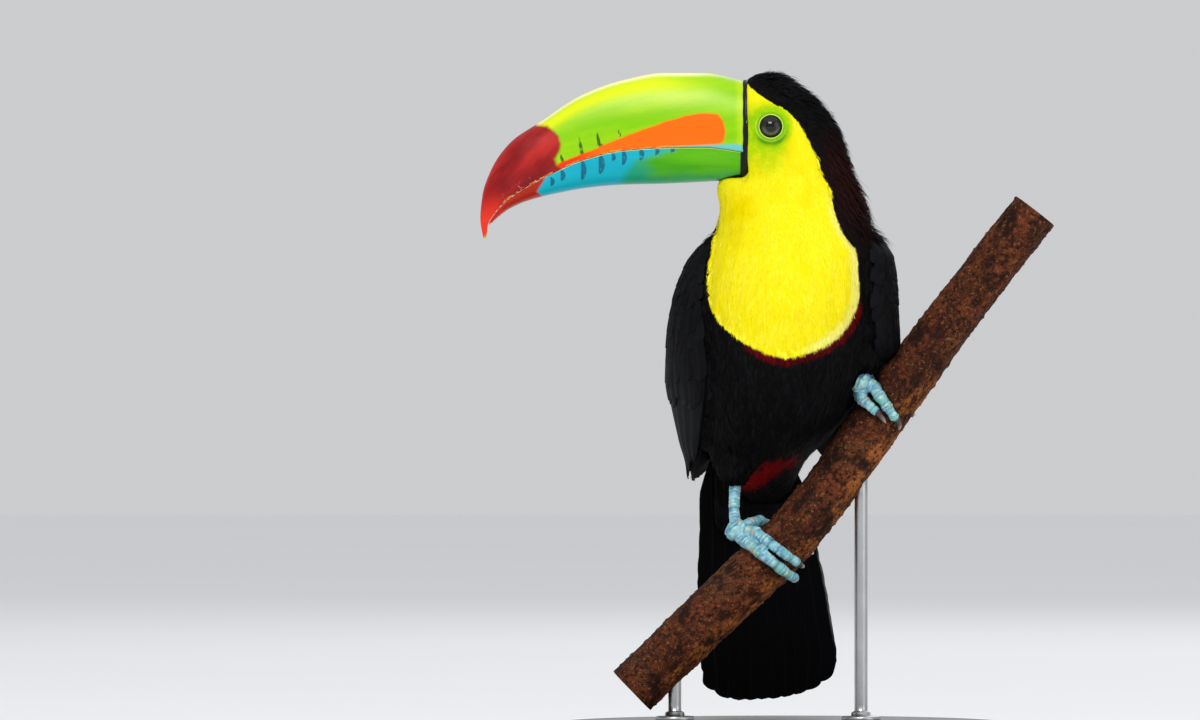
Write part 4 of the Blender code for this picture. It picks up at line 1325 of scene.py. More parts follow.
@dataclass
class Coat:
    """A field of tufts over the skin that follows the lie of the feathers."""

    name: str
    slot: str
    lock: Lock
    spacing: float
    width: float
    lift: float
    share: Reading
    seed: int
    fluff: float
    sway: float
    length: Reading
    bristle: Reading | None = None
    sunk: float = 0.35  # how deep the roots stand in the skin, in millimetres
    ragged: tuple[float, float] = (0.16, 0.30)  # unevenness of the tips, along and across
    bend: float = 0.10  # sideways curve, as a share of the length
    dome: float = 0.22  # how far a tuft's middle stands over its edges, as a share of its half width
    stagger: float = 0.25  # unevenness of height, in millimetres
    shade: tuple[float, float] = (0.28, 0.10)  # how far the normals turn across a tuft, and by chance

    def lie(self, points: Array, normals: Array) -> Array:
        """The direction in which the feathers lie.

        Args:
            points: places on the skin.
            normals: the skin's normal at each.

        Returns:
            A direction along the skin at each.
        """
        x, y, z = points[:, 0], points[:, 1] - BIRD_Y, points[:, 2]
        one = np.ones(len(x))
        back = np.stack([one, 0.10 * np.sign(y), -0.30 - 0.9 * smooth(4, 26, x)], -1)
        cheek = np.stack([0.75 - 0.6 * smooth(282, 258, z), 0 * x, -0.85 * one], -1)
        down = np.stack([0.04 * np.sign(x - 3), 0.10 + 0.25 * smooth(190, 140, z), -one], -1)
        crown = smooth(288, 300, z + 0.25 * x)[:, None]
        head = smooth(244, 272, z)[:, None]
        upper = crown * unit(back) + (1 - crown) * unit(cheek)
        flow = head * upper + (1 - head) * unit(down)
        flow[:, 1] += -0.10 * smooth(262, 240, z) * (y < 0)
        return unit(flow - normals * np.sum(flow * normals, 1)[:, None])

    def roots(self, skin: Skin, rng: Random) -> Pair:
        """Scatters places evenly over the skin.

        Args:
            skin: what the tufts stand on.
            rng: the order of chance.

        Returns:
            The places and the normal at each.
        """
        p = skin.points[skin.triangles]
        cross = np.cross(p[:, 1] - p[:, 0], p[:, 2] - p[:, 0])
        area = np.linalg.norm(cross, axis=1) / 2
        count = int(area.sum() / self.spacing**2)
        pick = np.searchsorted(np.cumsum(area), (np.arange(count) + rng.random(count)) / count * area.sum())
        pick = np.minimum(pick, len(area) - 1)
        u, v = rng.random((2, count, 1))
        folded = (u + v) > 1
        u, v = np.where(folded, 1 - u, u), np.where(folded, 1 - v, v)
        points = p[pick, 0] + u * (p[pick, 1] - p[pick, 0]) + v * (p[pick, 2] - p[pick, 0])
        return points, unit(cross[pick])

    def follow(self, skin: Skin, points: Array, steps: Array) -> tuple[Array, Array, Array]:
        """Bends each tuft along the skin.

        Args:
            skin: what the tufts stand on.
            points: their roots.
            steps: from each root to its tip, as if the skin were flat.

        Returns:
            Each tuft's middle, its tip and the normal at its tip.
        """
        middle, end, normals = (np.empty_like(points) for _ in range(3))
        for i, (point, step) in enumerate(zip(points, steps)):
            middle[i], _ = skin.near(point + step * 0.5)
            ahead = middle[i] - point
            ahead *= 0.5 * np.linalg.norm(step) / max(np.linalg.norm(ahead), 1e-6)
            end[i], normals[i] = skin.near(middle[i] + ahead)
        return middle, end, normals

    def build(self, skin: Skin) -> Piece:
        """Grows the coat.

        Args:
            skin: what the tufts stand on.

        Returns:
            One piece with every tuft.
        """
        rng = np.random.default_rng(self.seed)
        points, normals = self.roots(skin, rng)
        flow = self.lie(points, normals)
        length = self.length(points, Markings().read(points))
        marks = Markings().read(points + flow * length[:, None] * 0.8)
        keep = rng.random(len(points)) < self.share(points, marks)
        points, normals, flow, length = points[keep], normals[keep], flow[keep], length[keep]
        marks = {key: row[keep] for key, row in marks.items()}
        count, each = len(points), len(self.lock.points)
        clump = wander(points, 9.0, self.seed)
        sway = self.sway * (clump + rng.standard_normal(count))
        flow = unit(flow + unit(np.cross(normals, flow)) * sway[:, None])
        length = length * (1 + self.fluff * rng.standard_normal(count).clip(-1.6, 1.8))
        middle, end, end_normals = self.follow(skin, points, flow * length[:, None])
        raise_by = self.lift * (1 + 0.35 * rng.standard_normal(count)).clip(0.2, 2.2)
        if self.bristle is not None:
            raise_by = raise_by * self.bristle(points, marks)
        a, b = np.array(self.lock.points).T[:, None, :]
        tip = np.isin(np.arange(each), self.lock.tips)[None, :]
        a = a * np.where(tip, 1 + self.ragged[0] * rng.standard_normal((count, each)), 1.0)
        b = b + np.where(tip, self.ragged[1] * rng.standard_normal((count, each)), 0.0)
        a3, b3 = a[..., None], b[..., None]
        control = 2 * middle - (points + end) / 2
        centre = (1 - a3) ** 2 * points[:, None] + 2 * a3 * (1 - a3) * control[:, None] + a3**2 * end[:, None]
        up = unit((1 - a3) * normals[:, None] + a3 * end_normals[:, None])
        ahead = unit((1 - a3) * (middle - points)[:, None] + a3 * (end - middle)[:, None])
        across = unit(np.cross(up, ahead))
        half = self.width / 2 * (0.8 + 0.4 * rng.random(count))[:, None, None]
        bend = (self.bend * rng.standard_normal(count) * length)[:, None, None]
        height = a * (raise_by * length)[:, None] * (1.25 - 0.45 * a) - self.sunk
        height = height + self.dome * half[..., 0] * (1 - b**2)
        height = height + self.stagger * rng.random(count)[:, None] * np.minimum(a * 4, 1)
        placed = (centre + across * (half * b3 + bend * a3**2) + up * height[..., None]).reshape(-1, 3)
        turned, loose = self.shade
        shading = unit(up + across * (turned * b3) + loose * rng.standard_normal((count, 1, 3)))
        faces = np.arange(count)[:, None, None] * each + np.array(self.lock.faces)[None, :, ::-1]
        numbers = {key: np.repeat(row, each) for key, row in marks.items()}
        spots = Markings().read(placed)
        for key in ("yellow", "crimson"):
            numbers[key] = 0.3 * numbers[key] + 0.7 * spots[key]
        tint = np.clip(0.5 + 0.35 * clump + 0.28 * rng.standard_normal(count), 0, 1)
        # Where the painted highlight lies: just inside the yellow border on the +X side, below the face.
        rim = smooth(5.0, 1.0, marks["yellow"]) * smooth(4, 20, points[:, 0]) * smooth(262, 240, points[:, 2])
        numbers["tint"], numbers["rim"] = np.repeat(tint, each), np.repeat(rim, each)
        numbers["along"] = a.ravel().clip(0, 1)
        numbers["lid"] = numbers["under"] = np.zeros(count * each)
        patch = (np.stack([b * PATCH / 2, (a - 0.5) * PATCH], -1) + body_place(points)[:, None]).reshape(-1, 2)
        made = make_piece(self.name, placed, [faces.reshape(-1, 3)], FEATHER.make(), numbers, patch, shading)
        return made


def on_wing(skin: Skin, points: Array, reach: float = 1.2) -> Array:
    """True for places on a folded wing."""
    return np.array([skin.wing_tree.find_nearest(Vector(p))[3] for p in points]) < reach


def coats(skin: Skin) -> list[Coat]:
    """The fields of the coat, from the fine face feathers to the long ones of the flanks.

    Args:
        skin: what they stand on.

    Returns:
        One coat for each field.
    """

    def clear_of_bill(points: Array) -> Array:
        """False under the bill's base."""
        return (points[:, 0] > BILL_BASE_X + 1.8) | (points[:, 2] < 263.6 + 0.1 * (points[:, 0] - BILL_BASE_X))

    def face(points: Array, marks: Numbers) -> Array:
        """Yellow face above the throat, clear of the bare ring."""
        eye = np.hypot(points[:, 0] - EYE_X, points[:, 2] - EYE_Z)
        ring = smooth(7.2, 9.6, eye + 1.2 * smooth(0, 8, points[:, 0]))
        return ((marks["yellow"] > -0.6) & (points[:, 2] > 258) & clear_of_bill(points)) * ring

    def bib(points: Array, marks: Numbers) -> Array:
        """The yellow throat and chest."""
        return (marks["yellow"] > -0.2) & (points[:, 2] <= 259) & ~on_wing(skin, points, 0.6)

    def crown(points: Array, marks: Numbers) -> Array:
        """The black crown, nape and hind neck."""
        return (marks["yellow"] <= -0.2) & (points[:, 2] > 236) & clear_of_bill(points)

    def body(points: Array, marks: Numbers) -> Array:
        """Black breast, belly, flanks, thighs and back."""
        marks["scarlet"] = skin.off_thighs(points, marks["scarlet"])
        return (marks["yellow"] <= 0.2) & (points[:, 2] <= 236) & ~on_wing(skin, points)

    def shoulder(points: Array, _: Numbers) -> Array:
        """The skin of the wings, as a ground for the vanes."""
        return on_wing(skin, points) & (points[:, 2] > 146)

    lengths: dict[Reading, Reading] = {
        face: lambda p, m: 1.6 + 1.9 * smooth(286, 262, p[:, 2]) + 0.8 * smooth(6, 18, p[:, 0]),
        bib: lambda p, m: 3.8 + 2.0 * smooth(250, 215, p[:, 2]),
        crown: lambda p, m: 3.2 + 3.2 * smooth(300, 262, p[:, 2]) + 1.2 * smooth(2, 14, -m["yellow"]),
        body: lambda p, m: 6.5 + 5.0 * smooth(225, 150, p[:, 2]) - 3.5 * smooth(135, 121, p[:, 2]),
        shoulder: lambda p, m: np.full(len(p), 6.0),
    }
    lifts: dict[Reading, Reading] = {
        bib: lambda p, m: 0.8 + 1.6 * smooth(3.5, 0.0, m["yellow"]) * smooth(4, 20, p[:, 0]),
        crown: lambda p, m: 0.9 + 1.5 * smooth(4, 16, -m["yellow"]),
    }
    rows = (  # name, slot, outline, spacing, width, lift, share, seed, fluff, sway
        ("face", "throat_feather", HAIR_LOCK, 0.54, 0.6, 0.06, face, 11, 0.2, 0.10),
        ("bib", "throat_feather", HAIR_LOCK, 0.58, 0.72, 0.06, bib, 12, 0.2, 0.07),
        ("crown", "head_feather", SOFT_LOCK, 0.8, 0.85, 0.15, crown, 13, 0.32, 0.16),
        ("body", "body_feather", SOFT_LOCK, 1.1, 1.6, 0.07, body, 14, 0.2, 0.10),
        ("shoulder", "wing_feather", SOFT_LOCK, 1.9, 3.0, 0.05, shoulder, 15, 0.15, 0.14),
    )
    return [Coat("coat_" + row[0], *row[1:], lengths[row[6]], lifts.get(row[6])) for row in rows]


# --- wings and tail


@dataclass(frozen=True)
class FeatherBed:
    """Feathers laid in rows on a surface read by two shares."""

    name: str
    slot: str
    surface: Callable[[Array, Array], Pair]
    fray: float = 0.02  # unevenness of the edges, as a share of the half width
    dome: float = 0.45  # how far the shaft stands over the edges, in millimetres
    stagger: float = 0.12  # unevenness of height, in millimetres

    def lay(
        self,
        start: Array,
        end: Array,
        half: Array,
        heights: Pair,
        grid: tuple[int, int],
        rng: Random,
        round_off: float,
        tints: Array | None = None,
    ) -> Laid:
        """Vanes from start to end, both given as (share across, height).

        Args:
            start: where each quill begins.
            end: where each vane ends.
            half: each half width, as a share across.
            heights: how far each stands over the surface at its root and at its tip, in millimetres.
            grid: points along a vane and across it.
            rng: the order of chance.
            round_off: how long the rounding of the tip is, in millimetres.
            tints: a shade for each vane, or None for chance.

        Returns:
            Points, faces, numbers for the finish and the bake map.
        """
        count, (rows, columns) = len(start), grid
        a = (1 - (1 - np.linspace(0, 1, rows)) ** 1.5)[None, :, None]
        b = np.linspace(-1, 1, columns)[None, None, :]
        length = (start[:, 1] - end[:, 1])[:, None, None]
        tip = np.clip(1 - (1 - a) * length / round_off, 0, 1)
        taper = np.minimum(1, a * 5 + 0.25) * np.sqrt(np.clip(1 - tip**2, 0, 1))
        fray = 1 + self.fray * rng.standard_normal((count, rows, columns))
        s, z = (start[:, i, None, None] * (1 - a) + end[:, i, None, None] * a for i in (0, 1))
        place, normal = self.surface(s + b * half[:, None, None] * taper * fray, z + 0 * b)
        low, high = (height[:, None, None] for height in heights)
        height = low * (1 - a) + high * a + self.dome * (1 - np.abs(b)) * np.minimum(1, a * 4 + 0.3)
        height = height + self.stagger * rng.standard_normal(count)[:, None, None] * a
        points = place + normal * height[..., None]
        each = rows * columns
        faces = np.arange(count)[:, None, None] * each + grid_faces(rows, columns)[None]
        across, along, reach = (np.broadcast_to(v, fray.shape) for v in (b, a, length))
        tint = np.repeat(rng.random(count) if tints is None else tints, each)
        numbers = {"across": across.ravel(), "along": along.ravel(), "length": reach.ravel(), "tint": tint}
        root = body_place(points[:, 0, columns // 2])[:, None, None]
        patch = root + np.stack([across * PATCH / 2, (along - 0.5) * PATCH], -1)
        return points.reshape(-1, 3), faces.reshape(-1, 4), numbers, patch.reshape(-1, 2)

    def merge(self, parts: Sequence[Laid], thick: float) -> Piece:
        """Joins laid rows into one piece, each vane as thick as asked.

        Args:
            parts: what lay returned.
            thick: millimetres.

        Returns:
            The piece.
        """
        points, faces = joined([part[:2] for part in parts])
        merged = {key: np.concatenate([part[2][key] for part in parts]) for key in parts[0][2]}
        patch = np.concatenate([part[3] for part in parts])
        made = make_piece(self.name, points, [faces], BLACK_VANE.make(), merged, patch)
        if thick > 0:
            shell = made.modifiers.new("thick", "SOLIDIFY")
            shell.thickness, shell.offset = thick * MM, -1.0
            mesh = baked(made)
            made.modifiers.clear()
            made.data = mesh
        return made


WING_RIGHT = (  # height, front edge x, y, widest point x, y, back edge x, y
    (235.6, -32, -14, -34.6, -4, -24, 18), (231, -34, -19, -38.2, -4, -21, 29),
    (223.1, -36.4, -25, -43.2, -3, -19.1, 35.6), (207, -38.6, -30.4, -49, 0, -17, 46.4),
    (188.5, -38, -34.6, -51.6, 4, -14, 55.5), (170, -36.4, -31.9, -51.8, 12, -12, 61),
    (156.2, -36.5, -21.8, -48.8, 18, -12, 64), (142.3, -37.6, -2, -45.6, 26, -15.5, 68),
    (131.7, -38.6, 14, -43.4, 33, -29, 66), (126, -40, 26, -43, 38, -36.5, 58),
    (122.8, -40.6, 33, -42, 40, -40, 48),
)
WING_LEFT = (
    (236.4, 37.4, -20, 43.4, -3, 33, 18), (231.6, 40, -25.2, 46.9, -3, 28.4, 28.6),
    (224.5, 41.5, -27.8, 49.8, -2, 25.7, 35.2), (207, 41.5, -30.8, 50.8, 0, 17.8, 45.2),
    (190.8, 42.4, -26.7, 50.6, 5, 12, 53.4), (182, 44, -15.8, 49.4, 10, 10, 56.8),
    (176, 41.2, 0, 43.8, 18, 9, 59), (160.8, 36.4, 10, 40, 24, 7, 63),
    (146.6, 30.5, 21, 34, 35, 8, 67), (135, 26, 34, 29, 45, 19, 62),
    (128.6, 24, 43, 26.4, 49, 22, 56),
)


@dataclass
class Wing:
    """A folded wing: rows of coverts over long flight feathers that meet at the wing's point."""

    side: str
    table: tuple[tuple[float, ...], ...]
    seed: int
    count: int = 12
    # how many flight feathers carry a painted sheen along one edge
    sheen_edged: int = 4
    last: float = 0.985  # no covert reaches further back than this share
    keys: Keys = field(init=False)

    def __post_init__(self) -> None:
        """Reads the table."""
        self.keys = keyed(self.table)

    def place(self, s: Array, z: Array) -> Array:
        """Places on the folded wing's curve.

        Args:
            s: shares from front to back.
            z: heights.

        Returns:
            The points.
        """
        front, middle, back = np.split(self.keys.read(z), 3, -1)
        control = 2 * middle - (front + back) / 2
        t = s[..., None]
        plan = (1 - t) ** 2 * front + 2 * t * (1 - t) * control + t**2 * back
        return np.concatenate([plan + (0, BIRD_Y), z[..., None]], -1)

    def surface(self, s: Array, z: Array) -> Pair:
        """Points and outward normals.

        Args:
            s: shares from front to back.
            z: heights.

        Returns:
            Both, one row for each place.
        """
        s, z = np.broadcast_arrays(s, z)
        here = self.place(s, z)
        normal = unit(np.cross(self.place(s + 0.01, z) - here, self.place(s, z + 0.5) - here))
        away = (here - (0, BIRD_Y + 10, 0)) * (1, 1, 0)
        inward = np.sum(normal * away, -1, keepdims=True) < 0
        return here, np.where(inward, -normal, normal)

    def girth(self, z: Array) -> Array:
        """How wide the strip is at this height."""
        front, middle, back = np.split(self.keys.read(z), 3, -1)
        return np.linalg.norm(middle - front, axis=-1) + np.linalg.norm(back - middle, axis=-1)

    def row(
        self,
        bed: FeatherBed,
        z: float,
        length: float,
        width: float,
        heights: tuple[float, float],
        rng: Random,
    ) -> Laid:
        """One row of coverts.

        Args:
            bed: what they lie on.
            z: the height of their roots.
            length: how long each is, in millimetres.
            width: how wide each is.
            heights: how far root and tip stand over the surface.
            rng: the order of chance.

        Returns:
            The row.
        """
        girth = float(self.girth(np.array(z)))
        count = max(int(girth / (width * 0.66)), 3)
        half = width / 2 / girth
        s = (np.arange(count) + 0.5 + 0.12 * rng.standard_normal(count)) / count
        top = z + 0.8 * rng.standard_normal(count)
        tip = np.maximum(top - length * (1 + 0.07 * rng.standard_normal(count)), self.table[-1][0] + 1.5)
        s = np.minimum([s, s + 0.02 * rng.standard_normal(count)], self.last - half)
        start, end = np.stack([s[0], top], -1), np.stack([s[1], tip], -1)
        over = (np.full(count, heights[0]), np.full(count, heights[1]))
        return bed.lay(start, end, np.full(count, half), over, (8, 5), rng, width * 0.75)

    def build(self) -> list[Piece]:
        """The flight feathers and the coverts."""
        rng = np.random.default_rng(self.seed)
        top, low = self.table[0][0], self.table[-1][0]
        flights = FeatherBed("flights_" + self.side, "wing_feather", self.surface)
        shares, order = np.linspace(0.05, 0.96, self.count), np.linspace(0, 1, self.count)
        reach = low + 2.0 + 26 * np.abs(shares - 0.42) ** 1.3 + 1.2 * rng.standard_normal(self.count)
        start, end = np.stack([shares, 186.0 - 6 * shares], -1), np.stack([shares * 0.92 + 0.04, reach], -1)
        over = (0.2 + 0.4 * order, 0.4 + 0.6 * order)
        # The first few flight feathers take a high tint, which gives them the painted edge sheen.
        tints = np.where(np.arange(self.count) < self.sheen_edged, 0.95, 0.4)
        laid = flights.lay(start, end, np.full(self.count, 0.064), over, (26, 9), rng, 11.0, tints)
        coverts = FeatherBed("coverts_" + self.side, "wing_feather", self.surface)
        lines = [(z, 8.5, 5.2, (0.0, 0.6)) for z in np.arange(top - 2.5, 206, -3.4)]
        lines += [(z, 13.0, 7.0, (0.2, 0.8)) for z in np.arange(205, 190, -4.6)]
        lines += [(z, length, 8.6, (0.5, 1.1)) for z, length in ((189.0, 19.0), (182.5, 23.0))]
        rows = [self.row(coverts, *line, rng) for line in lines]
        return [flights.merge([laid], 0.25), coverts.merge(rows, 0.0)]


@dataclass
class Tail:
    """Ten long tail feathers, stacked like a closed fan and bowed across."""

    rows: tuple[tuple[float, ...], ...] = (  # height, left edge, right edge
        (134, -38.4, 9), (124.2, -39.4, 12), (104.5, -38.8, 14.8), (76.2, -39.1, 20.8),
        (57.3, -38.8, 23.6), (40.7, -37.2, 25.8), (32.6, -35.7, 24.3),
    )
    tips: tuple[float, ...] = (24.4, 20.6, 19.4, 19.3, 19.4, 20.0, 21.0, 22.4, 24.8, 28.8)
    top: float = 134.0
    tip: float = 19.3
    top_y: float = 50.0
    tip_y: float = 111.0
    arch: float = 4.0
    seed: int = 31

    def surface(self, s: Array, z: Array) -> Pair:
        """Points and normals, pointing forwards, on the tail's middle sheet.

        Args:
            s: places across, from -1 to 1.
            z: heights.

        Returns:
            Both, one row for each place.
        """
        s, z = np.broadcast_arrays(s, z)
        left, right = np.moveaxis(keyed(self.rows).read(z), -1, 0)
        fall, back = self.top - self.tip, self.tip_y - self.top_y
        t = (self.top - z) / fall
        y = self.top_y + back * (0.9 * t + 0.1 * t * t) - self.arch * s**2
        here = np.stack([(left + right) / 2 + s * (right - left) / 2, BIRD_Y + y, z], -1)
        normal = np.stack([2 * self.arch * s / 30, -np.ones_like(s), np.full_like(s, -back / fall)], -1)
        return here, unit(normal)

    def build(self) -> list[Piece]:
        """The feathers as one piece that stands for the CAD tail, and their coverts."""
        rng = np.random.default_rng(self.seed)
        bed = FeatherBed("tail_feathers", "tail_feather", self.surface)
        count = len(self.tips)
        middle = np.linspace(-0.80, 0.80, count)
        start = np.stack([middle * 0.9, np.full(count, self.top - 1)], -1)
        end = np.stack([middle, self.tips], -1)
        layer = 2.6 * np.abs(middle) - 1.2 + 0.25 * np.sign(middle)
        # The highest tint gives the last tail feather the painted sheen along one edge.
        over, tints = (layer * 1.2, layer * 0.9), np.linspace(0.1, 0.7, count)
        made = bed.merge([bed.lay(start, end, np.full(count, 0.225), over, (44, 11), rng, 5.5, tints)], 0.3)
        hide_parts("tail")
        return [made, self.coverts(rng)]

    def coverts(self, rng: Random, count: int = 9) -> Piece:
        """Short feathers over the tail's root, behind and before.

        Args:
            rng: the order of chance.
            count: how many stand in a row.

        Returns:
            The piece.
        """
        bed = FeatherBed("tail_coverts", "tail_feather", self.surface)
        rows = []
        for z, length in ((133.0, 22.0), (126.0, 24.0), (119.0, 24.0)):
            s = np.linspace(-0.52, 0.52, count) + 0.02 * rng.standard_normal(count)
            start = np.stack([s, z + rng.standard_normal(count)], -1)
            end = np.stack([s, z - length * (1 + 0.1 * rng.standard_normal(count))], -1)
            for height, rise in ((-3.8, -0.9), (2.8, 0.9)):
                over = (np.full(count, height), np.full(count, height + rise))
                rows.append(bed.lay(start, end, np.full(count, 0.17), over, (9, 7), rng, 7.0))
        return bed.merge(rows, 0.25)


# --- bill

BILL_ROWS = (  # ridge x, z; biting edge x, z; underside x, z; half width
    (-17.5, 307.9, -17.5, 274.9, -17.5, 262.8, 16), (-36.5, 311.9, -37.4, 277.2, -37.4, 261.6, 15.4),
    (-55, 311.9, -54.6, 277, -55, 260.8, 14.6), (-73.9, 308.6, -73.9, 275.8, -73.9, 260.3, 13.5),
    (-92.9, 301.7, -91.5, 271.7, -89.2, 259, 12.2), (-111.5, 289.7, -107.2, 265, -103, 256.6, 10.5),
    (-125.7, 280, -121, 257.5, -116.9, 253.2, 8.6), (-134.4, 268, -128.9, 251.8, -126.1, 249.3, 6.8),
    (-138.8, 255.5, -134, 245.8, -132.6, 244.4, 4.6), (-139.8, 244.9, -136, 242.2, -135.4, 241.6, 2.6),
    (-138.4, 235.3, -136.9, 236.2, -136.5, 240.9, 0.8),
)
EMBER_UPPER = (
    (-114.5, 320), (-114, 288.1), (-109, 287.1), (-105.9, 285), (-103.8, 282.4), (-102.6, 278.8), (-103.2, 275.2),
    (-105.4, 272.1), (-104.6, 269.5), (-102.9, 267.9), (-102.5, 262), (-160, 220), (-160, 320),
)
EMBER_LOWER = ((-107.6, 266.5), (-110.6, 261.4), (-113.6, 257), (-110.4, 254.4), (-108, 250), (-160, 215), (-160, 275))
FLASH = (
    (-104.6, 269.5), (-100.7, 271.2), (-95, 273.4), (-89.3, 275.6), (-83.6, 278.2), (-77.9, 280.6), (-66.5, 285),
    (-55.2, 289), (-45.6, 291.9), (-36.2, 293.2), (-30.3, 292.6), (-27.6, 289.4), (-26.5, 284.6), (-27.3, 280),
    (-30.3, 278.3), (-45, 277.7), (-57, 277.3), (-60, 270), (-104, 255),
)
WEDGE = (
    (-58, 277.6), (-45, 277.9), (-30.3, 278.6), (-22, 278.9), (-18.4, 277.9), (-18, 274.8), (-24, 276.2),
    (-34, 276.2),
)
AZURE = (
    (-120, 262), (-92, 275), (-74, 279), (-52, 280), (-50, 276.4), (-60, 273.4), (-68, 270.8), (-72, 266),
    (-76, 259), (-80, 252), (-125, 252),
)
TEAL = ((-120, 270), (-66, 273), (-60, 264), (-45, 262.6), (-21, 264.6), (-19, 250), (-120, 250))
UPPER_NOTCHES = (  # x, z, width, height of each dark mark
    (-102, 271.9, 0.9, 2.2), (-93.3, 277.2, 0.9, 4.4), (-92.2, 274, 1.6, 1.2), (-85.3, 281, 0.9, 3.6),
    (-84.4, 278.6, 1.4, 1), (-75.6, 284, 0.7, 1.9),
)
LOWER_NOTCHES = (
    (-107.2, 261.6, 0.8, 1.8), (-102.4, 264.4, 0.9, 2.2), (-92.9, 266.8, 1, 3.8), (-84.6, 269.6, 1.1, 3.8),
    (-79, 272.6, 0.8, 1.8), (-74.1, 272.6, 0.9, 3), (-66.1, 274, 0.9, 2.4), (-58.9, 275.6, 0.8, 1.7),
    (-51.8, 276.2, 0.8, 1.2),
)


@dataclass
class Bill:
    """Both mandibles, with a toothed biting edge, a keel and a black rim at the base."""

    rows: int = 260
    across: int = 72
    lower_end: float = 0.88  # where the lower mandible ends, as a share of the table
    gape: float = 0.15  # half the gap between the biting edges, in millimetres
    tooth: float = 0.55
    keel: float = 0.18
    groove: float = 0.22
    dent: float = 0.14
    hollow: float = 1.6
    keys: Keys = field(default_factory=lambda: Keys(np.linspace(0, 1, len(BILL_ROWS)), BILL_ROWS))

    def half(self, upper: bool) -> tuple[Array, Array, Array]:
        """One mandible's outer side.

        Args:
            upper: which of the two.

        Returns:
            Its points, row by row, and the shares along and round it.
        """
        last = 1.0 if upper else self.lower_end
        k = np.arange(self.rows + 1) / self.rows
        t = last * (1 - (1 - k) ** 1.25)
        rows = self.keys.read(t)
        top, bite, under, wide = rows[:, 0:2], rows[:, 2:4], rows[:, 4:6], rows[:, 6].copy()
        bite = bite + unit(top - under) * (self.gape if upper else -self.gape)
        outer = top if upper else under
        if not upper:
            end = smooth(0.93, 1.0, k)[:, None]
            outer = outer * (1 - end) + (bite + (under - bite) * 0.25) * end
            wide *= 1 - 0.5 * end[:, 0]
        even = np.linspace(0, 1, self.across + 1)
        a = 0.55 * (np.pi * (0.5 - 0.5 * np.cos(np.pi * even))) + 0.45 * np.pi * even
        rise = np.sin(a) ** (0.92 if upper else 1.05)
        side = np.sign(np.cos(a)) * np.abs(np.cos(a)) ** (0.72 if upper else 0.8)
        belly = 1 + (0.05 if upper else -0.02) * np.sin(2 * a) * np.sign(np.cos(a))
        flat = bite[:, None] + (outer - bite)[:, None] * rise[None, :, None]
        y = wide[:, None] * (side * belly)[None]
        points = np.stack([flat[..., 0], BIRD_Y + y, flat[..., 1]], -1)
        points[..., 2] += self.teeth(t[:, None]) * bell(0, 0.055, rise)[None] * (1 if upper else -0.5)
        if upper:
            keel = bell(np.pi / 2, 0.10, a)[None] * (smooth(0.02, 0.2, t) * smooth(1.0, 0.8, t))[:, None]
            groove = bell(0.10, 0.04, rise)[None] * smooth(0.95, 0.7, t)[:, None]
            points[..., 1] -= np.sign(y) * (self.keel * keel + self.groove * groove)
        points[..., 1] += np.sign(y) * self.dent * self.dents(points) * (np.abs(y) > 2)
        return points, t, rise

    def teeth(self, t: Array) -> Array:
        """How far the biting edge stands out at this share along the bill."""
        span = smooth(0.10, 0.25, t) * smooth(0.95, 0.80, t)
        saw = ((t * 205 + 0.8 * np.sin(t * 37)) / (2 * np.pi)) % 1.0
        return (saw - 0.5) * self.tooth * span * (0.6 + 0.4 * np.sin(t * 61))

    def dents(self, points: Array) -> Array:
        """Broad, shallow unevenness.

        Args:
            points: a grid of points.

        Returns:
            About -1 to 1 at each.
        """
        coarse = wander(points[::4, ::4], 22.0, 3.0)
        full = np.kron(coarse, np.ones((4, 4)))[: self.rows + 1, : self.across + 1]
        for axis in (0, 1):
            full = sum(np.roll(full, s, axis) for s in range(-4, 5)) / 9
        return full

    def numbers(self, upper: bool, points: Array, t: Array, rise: Array) -> Numbers:
        """What the horn's finish reads.

        Args:
            upper: which mandible.
            points: its points.
            t: the share along it.
            rise: the share round it.

        Returns:
            One array for each number, signed distances in millimetres.
        """
        x, z = points[..., 0], points[..., 2]
        outlines = {"ember": EMBER_UPPER, "flash": FLASH, "wedge": WEDGE}
        if not upper:
            outlines = {"ember": EMBER_LOWER, "azure": AZURE, "teal": TEAL}
        found = {key: outline_distance(x, z, shape).clip(-9, 9) for key, shape in outlines.items()}
        marks = UPPER_NOTCHES if upper else LOWER_NOTCHES
        deep = [self.notch(x - mx, (z - mz) / (high * 1.25), wide, upper) for mx, mz, wide, high in marks]
        found["notch"] = np.max(deep, 0).clip(-1, 1)
        keys = self.keys.read(t)
        found["bite"] = rise[None] * np.abs(keys[:, 1] - keys[:, 3])[:, None]
        found["forward"] = smooth(-80, -100, x) if upper else smooth(-96, -116, x)
        found["teeth"] = smooth(-44, -56, x) * smooth(-133, -126, x)
        found["point"] = smooth(262, 242, z) * smooth(-122, -134, x)
        if not upper:
            below = 2.6 * ((x + 33) / 13).clip(0, 1) - 0.15 - (z - 262.8 - 0.06 * (x + 17.5))
            found["rim"] = np.maximum(x + 19.8, np.minimum(below, x + 34))
            return found
        found["rim"] = np.maximum(x + 18.5, -9)
        arc = rise[None] + 0 * x
        # Where the broad painted sheen lies on the upper mandible's side.
        found["pale"] = 0.75 * np.exp(-(((x + 48) / 26) ** 2) - ((arc - 0.66 - 0.0012 * (x + 48)) / 0.13) ** 2)
        found["gold"] = 0.9 * bell(0.86, 0.13, arc) * smooth(-30, -64, x) + 0.35 * smooth(-23, -19.5, x)
        # The pale ridge stripe: partly cream, partly a painted highlight from above.
        found["keel"] = smooth(0.93, 0.985, arc) * smooth(-22, -44, x)
        return found

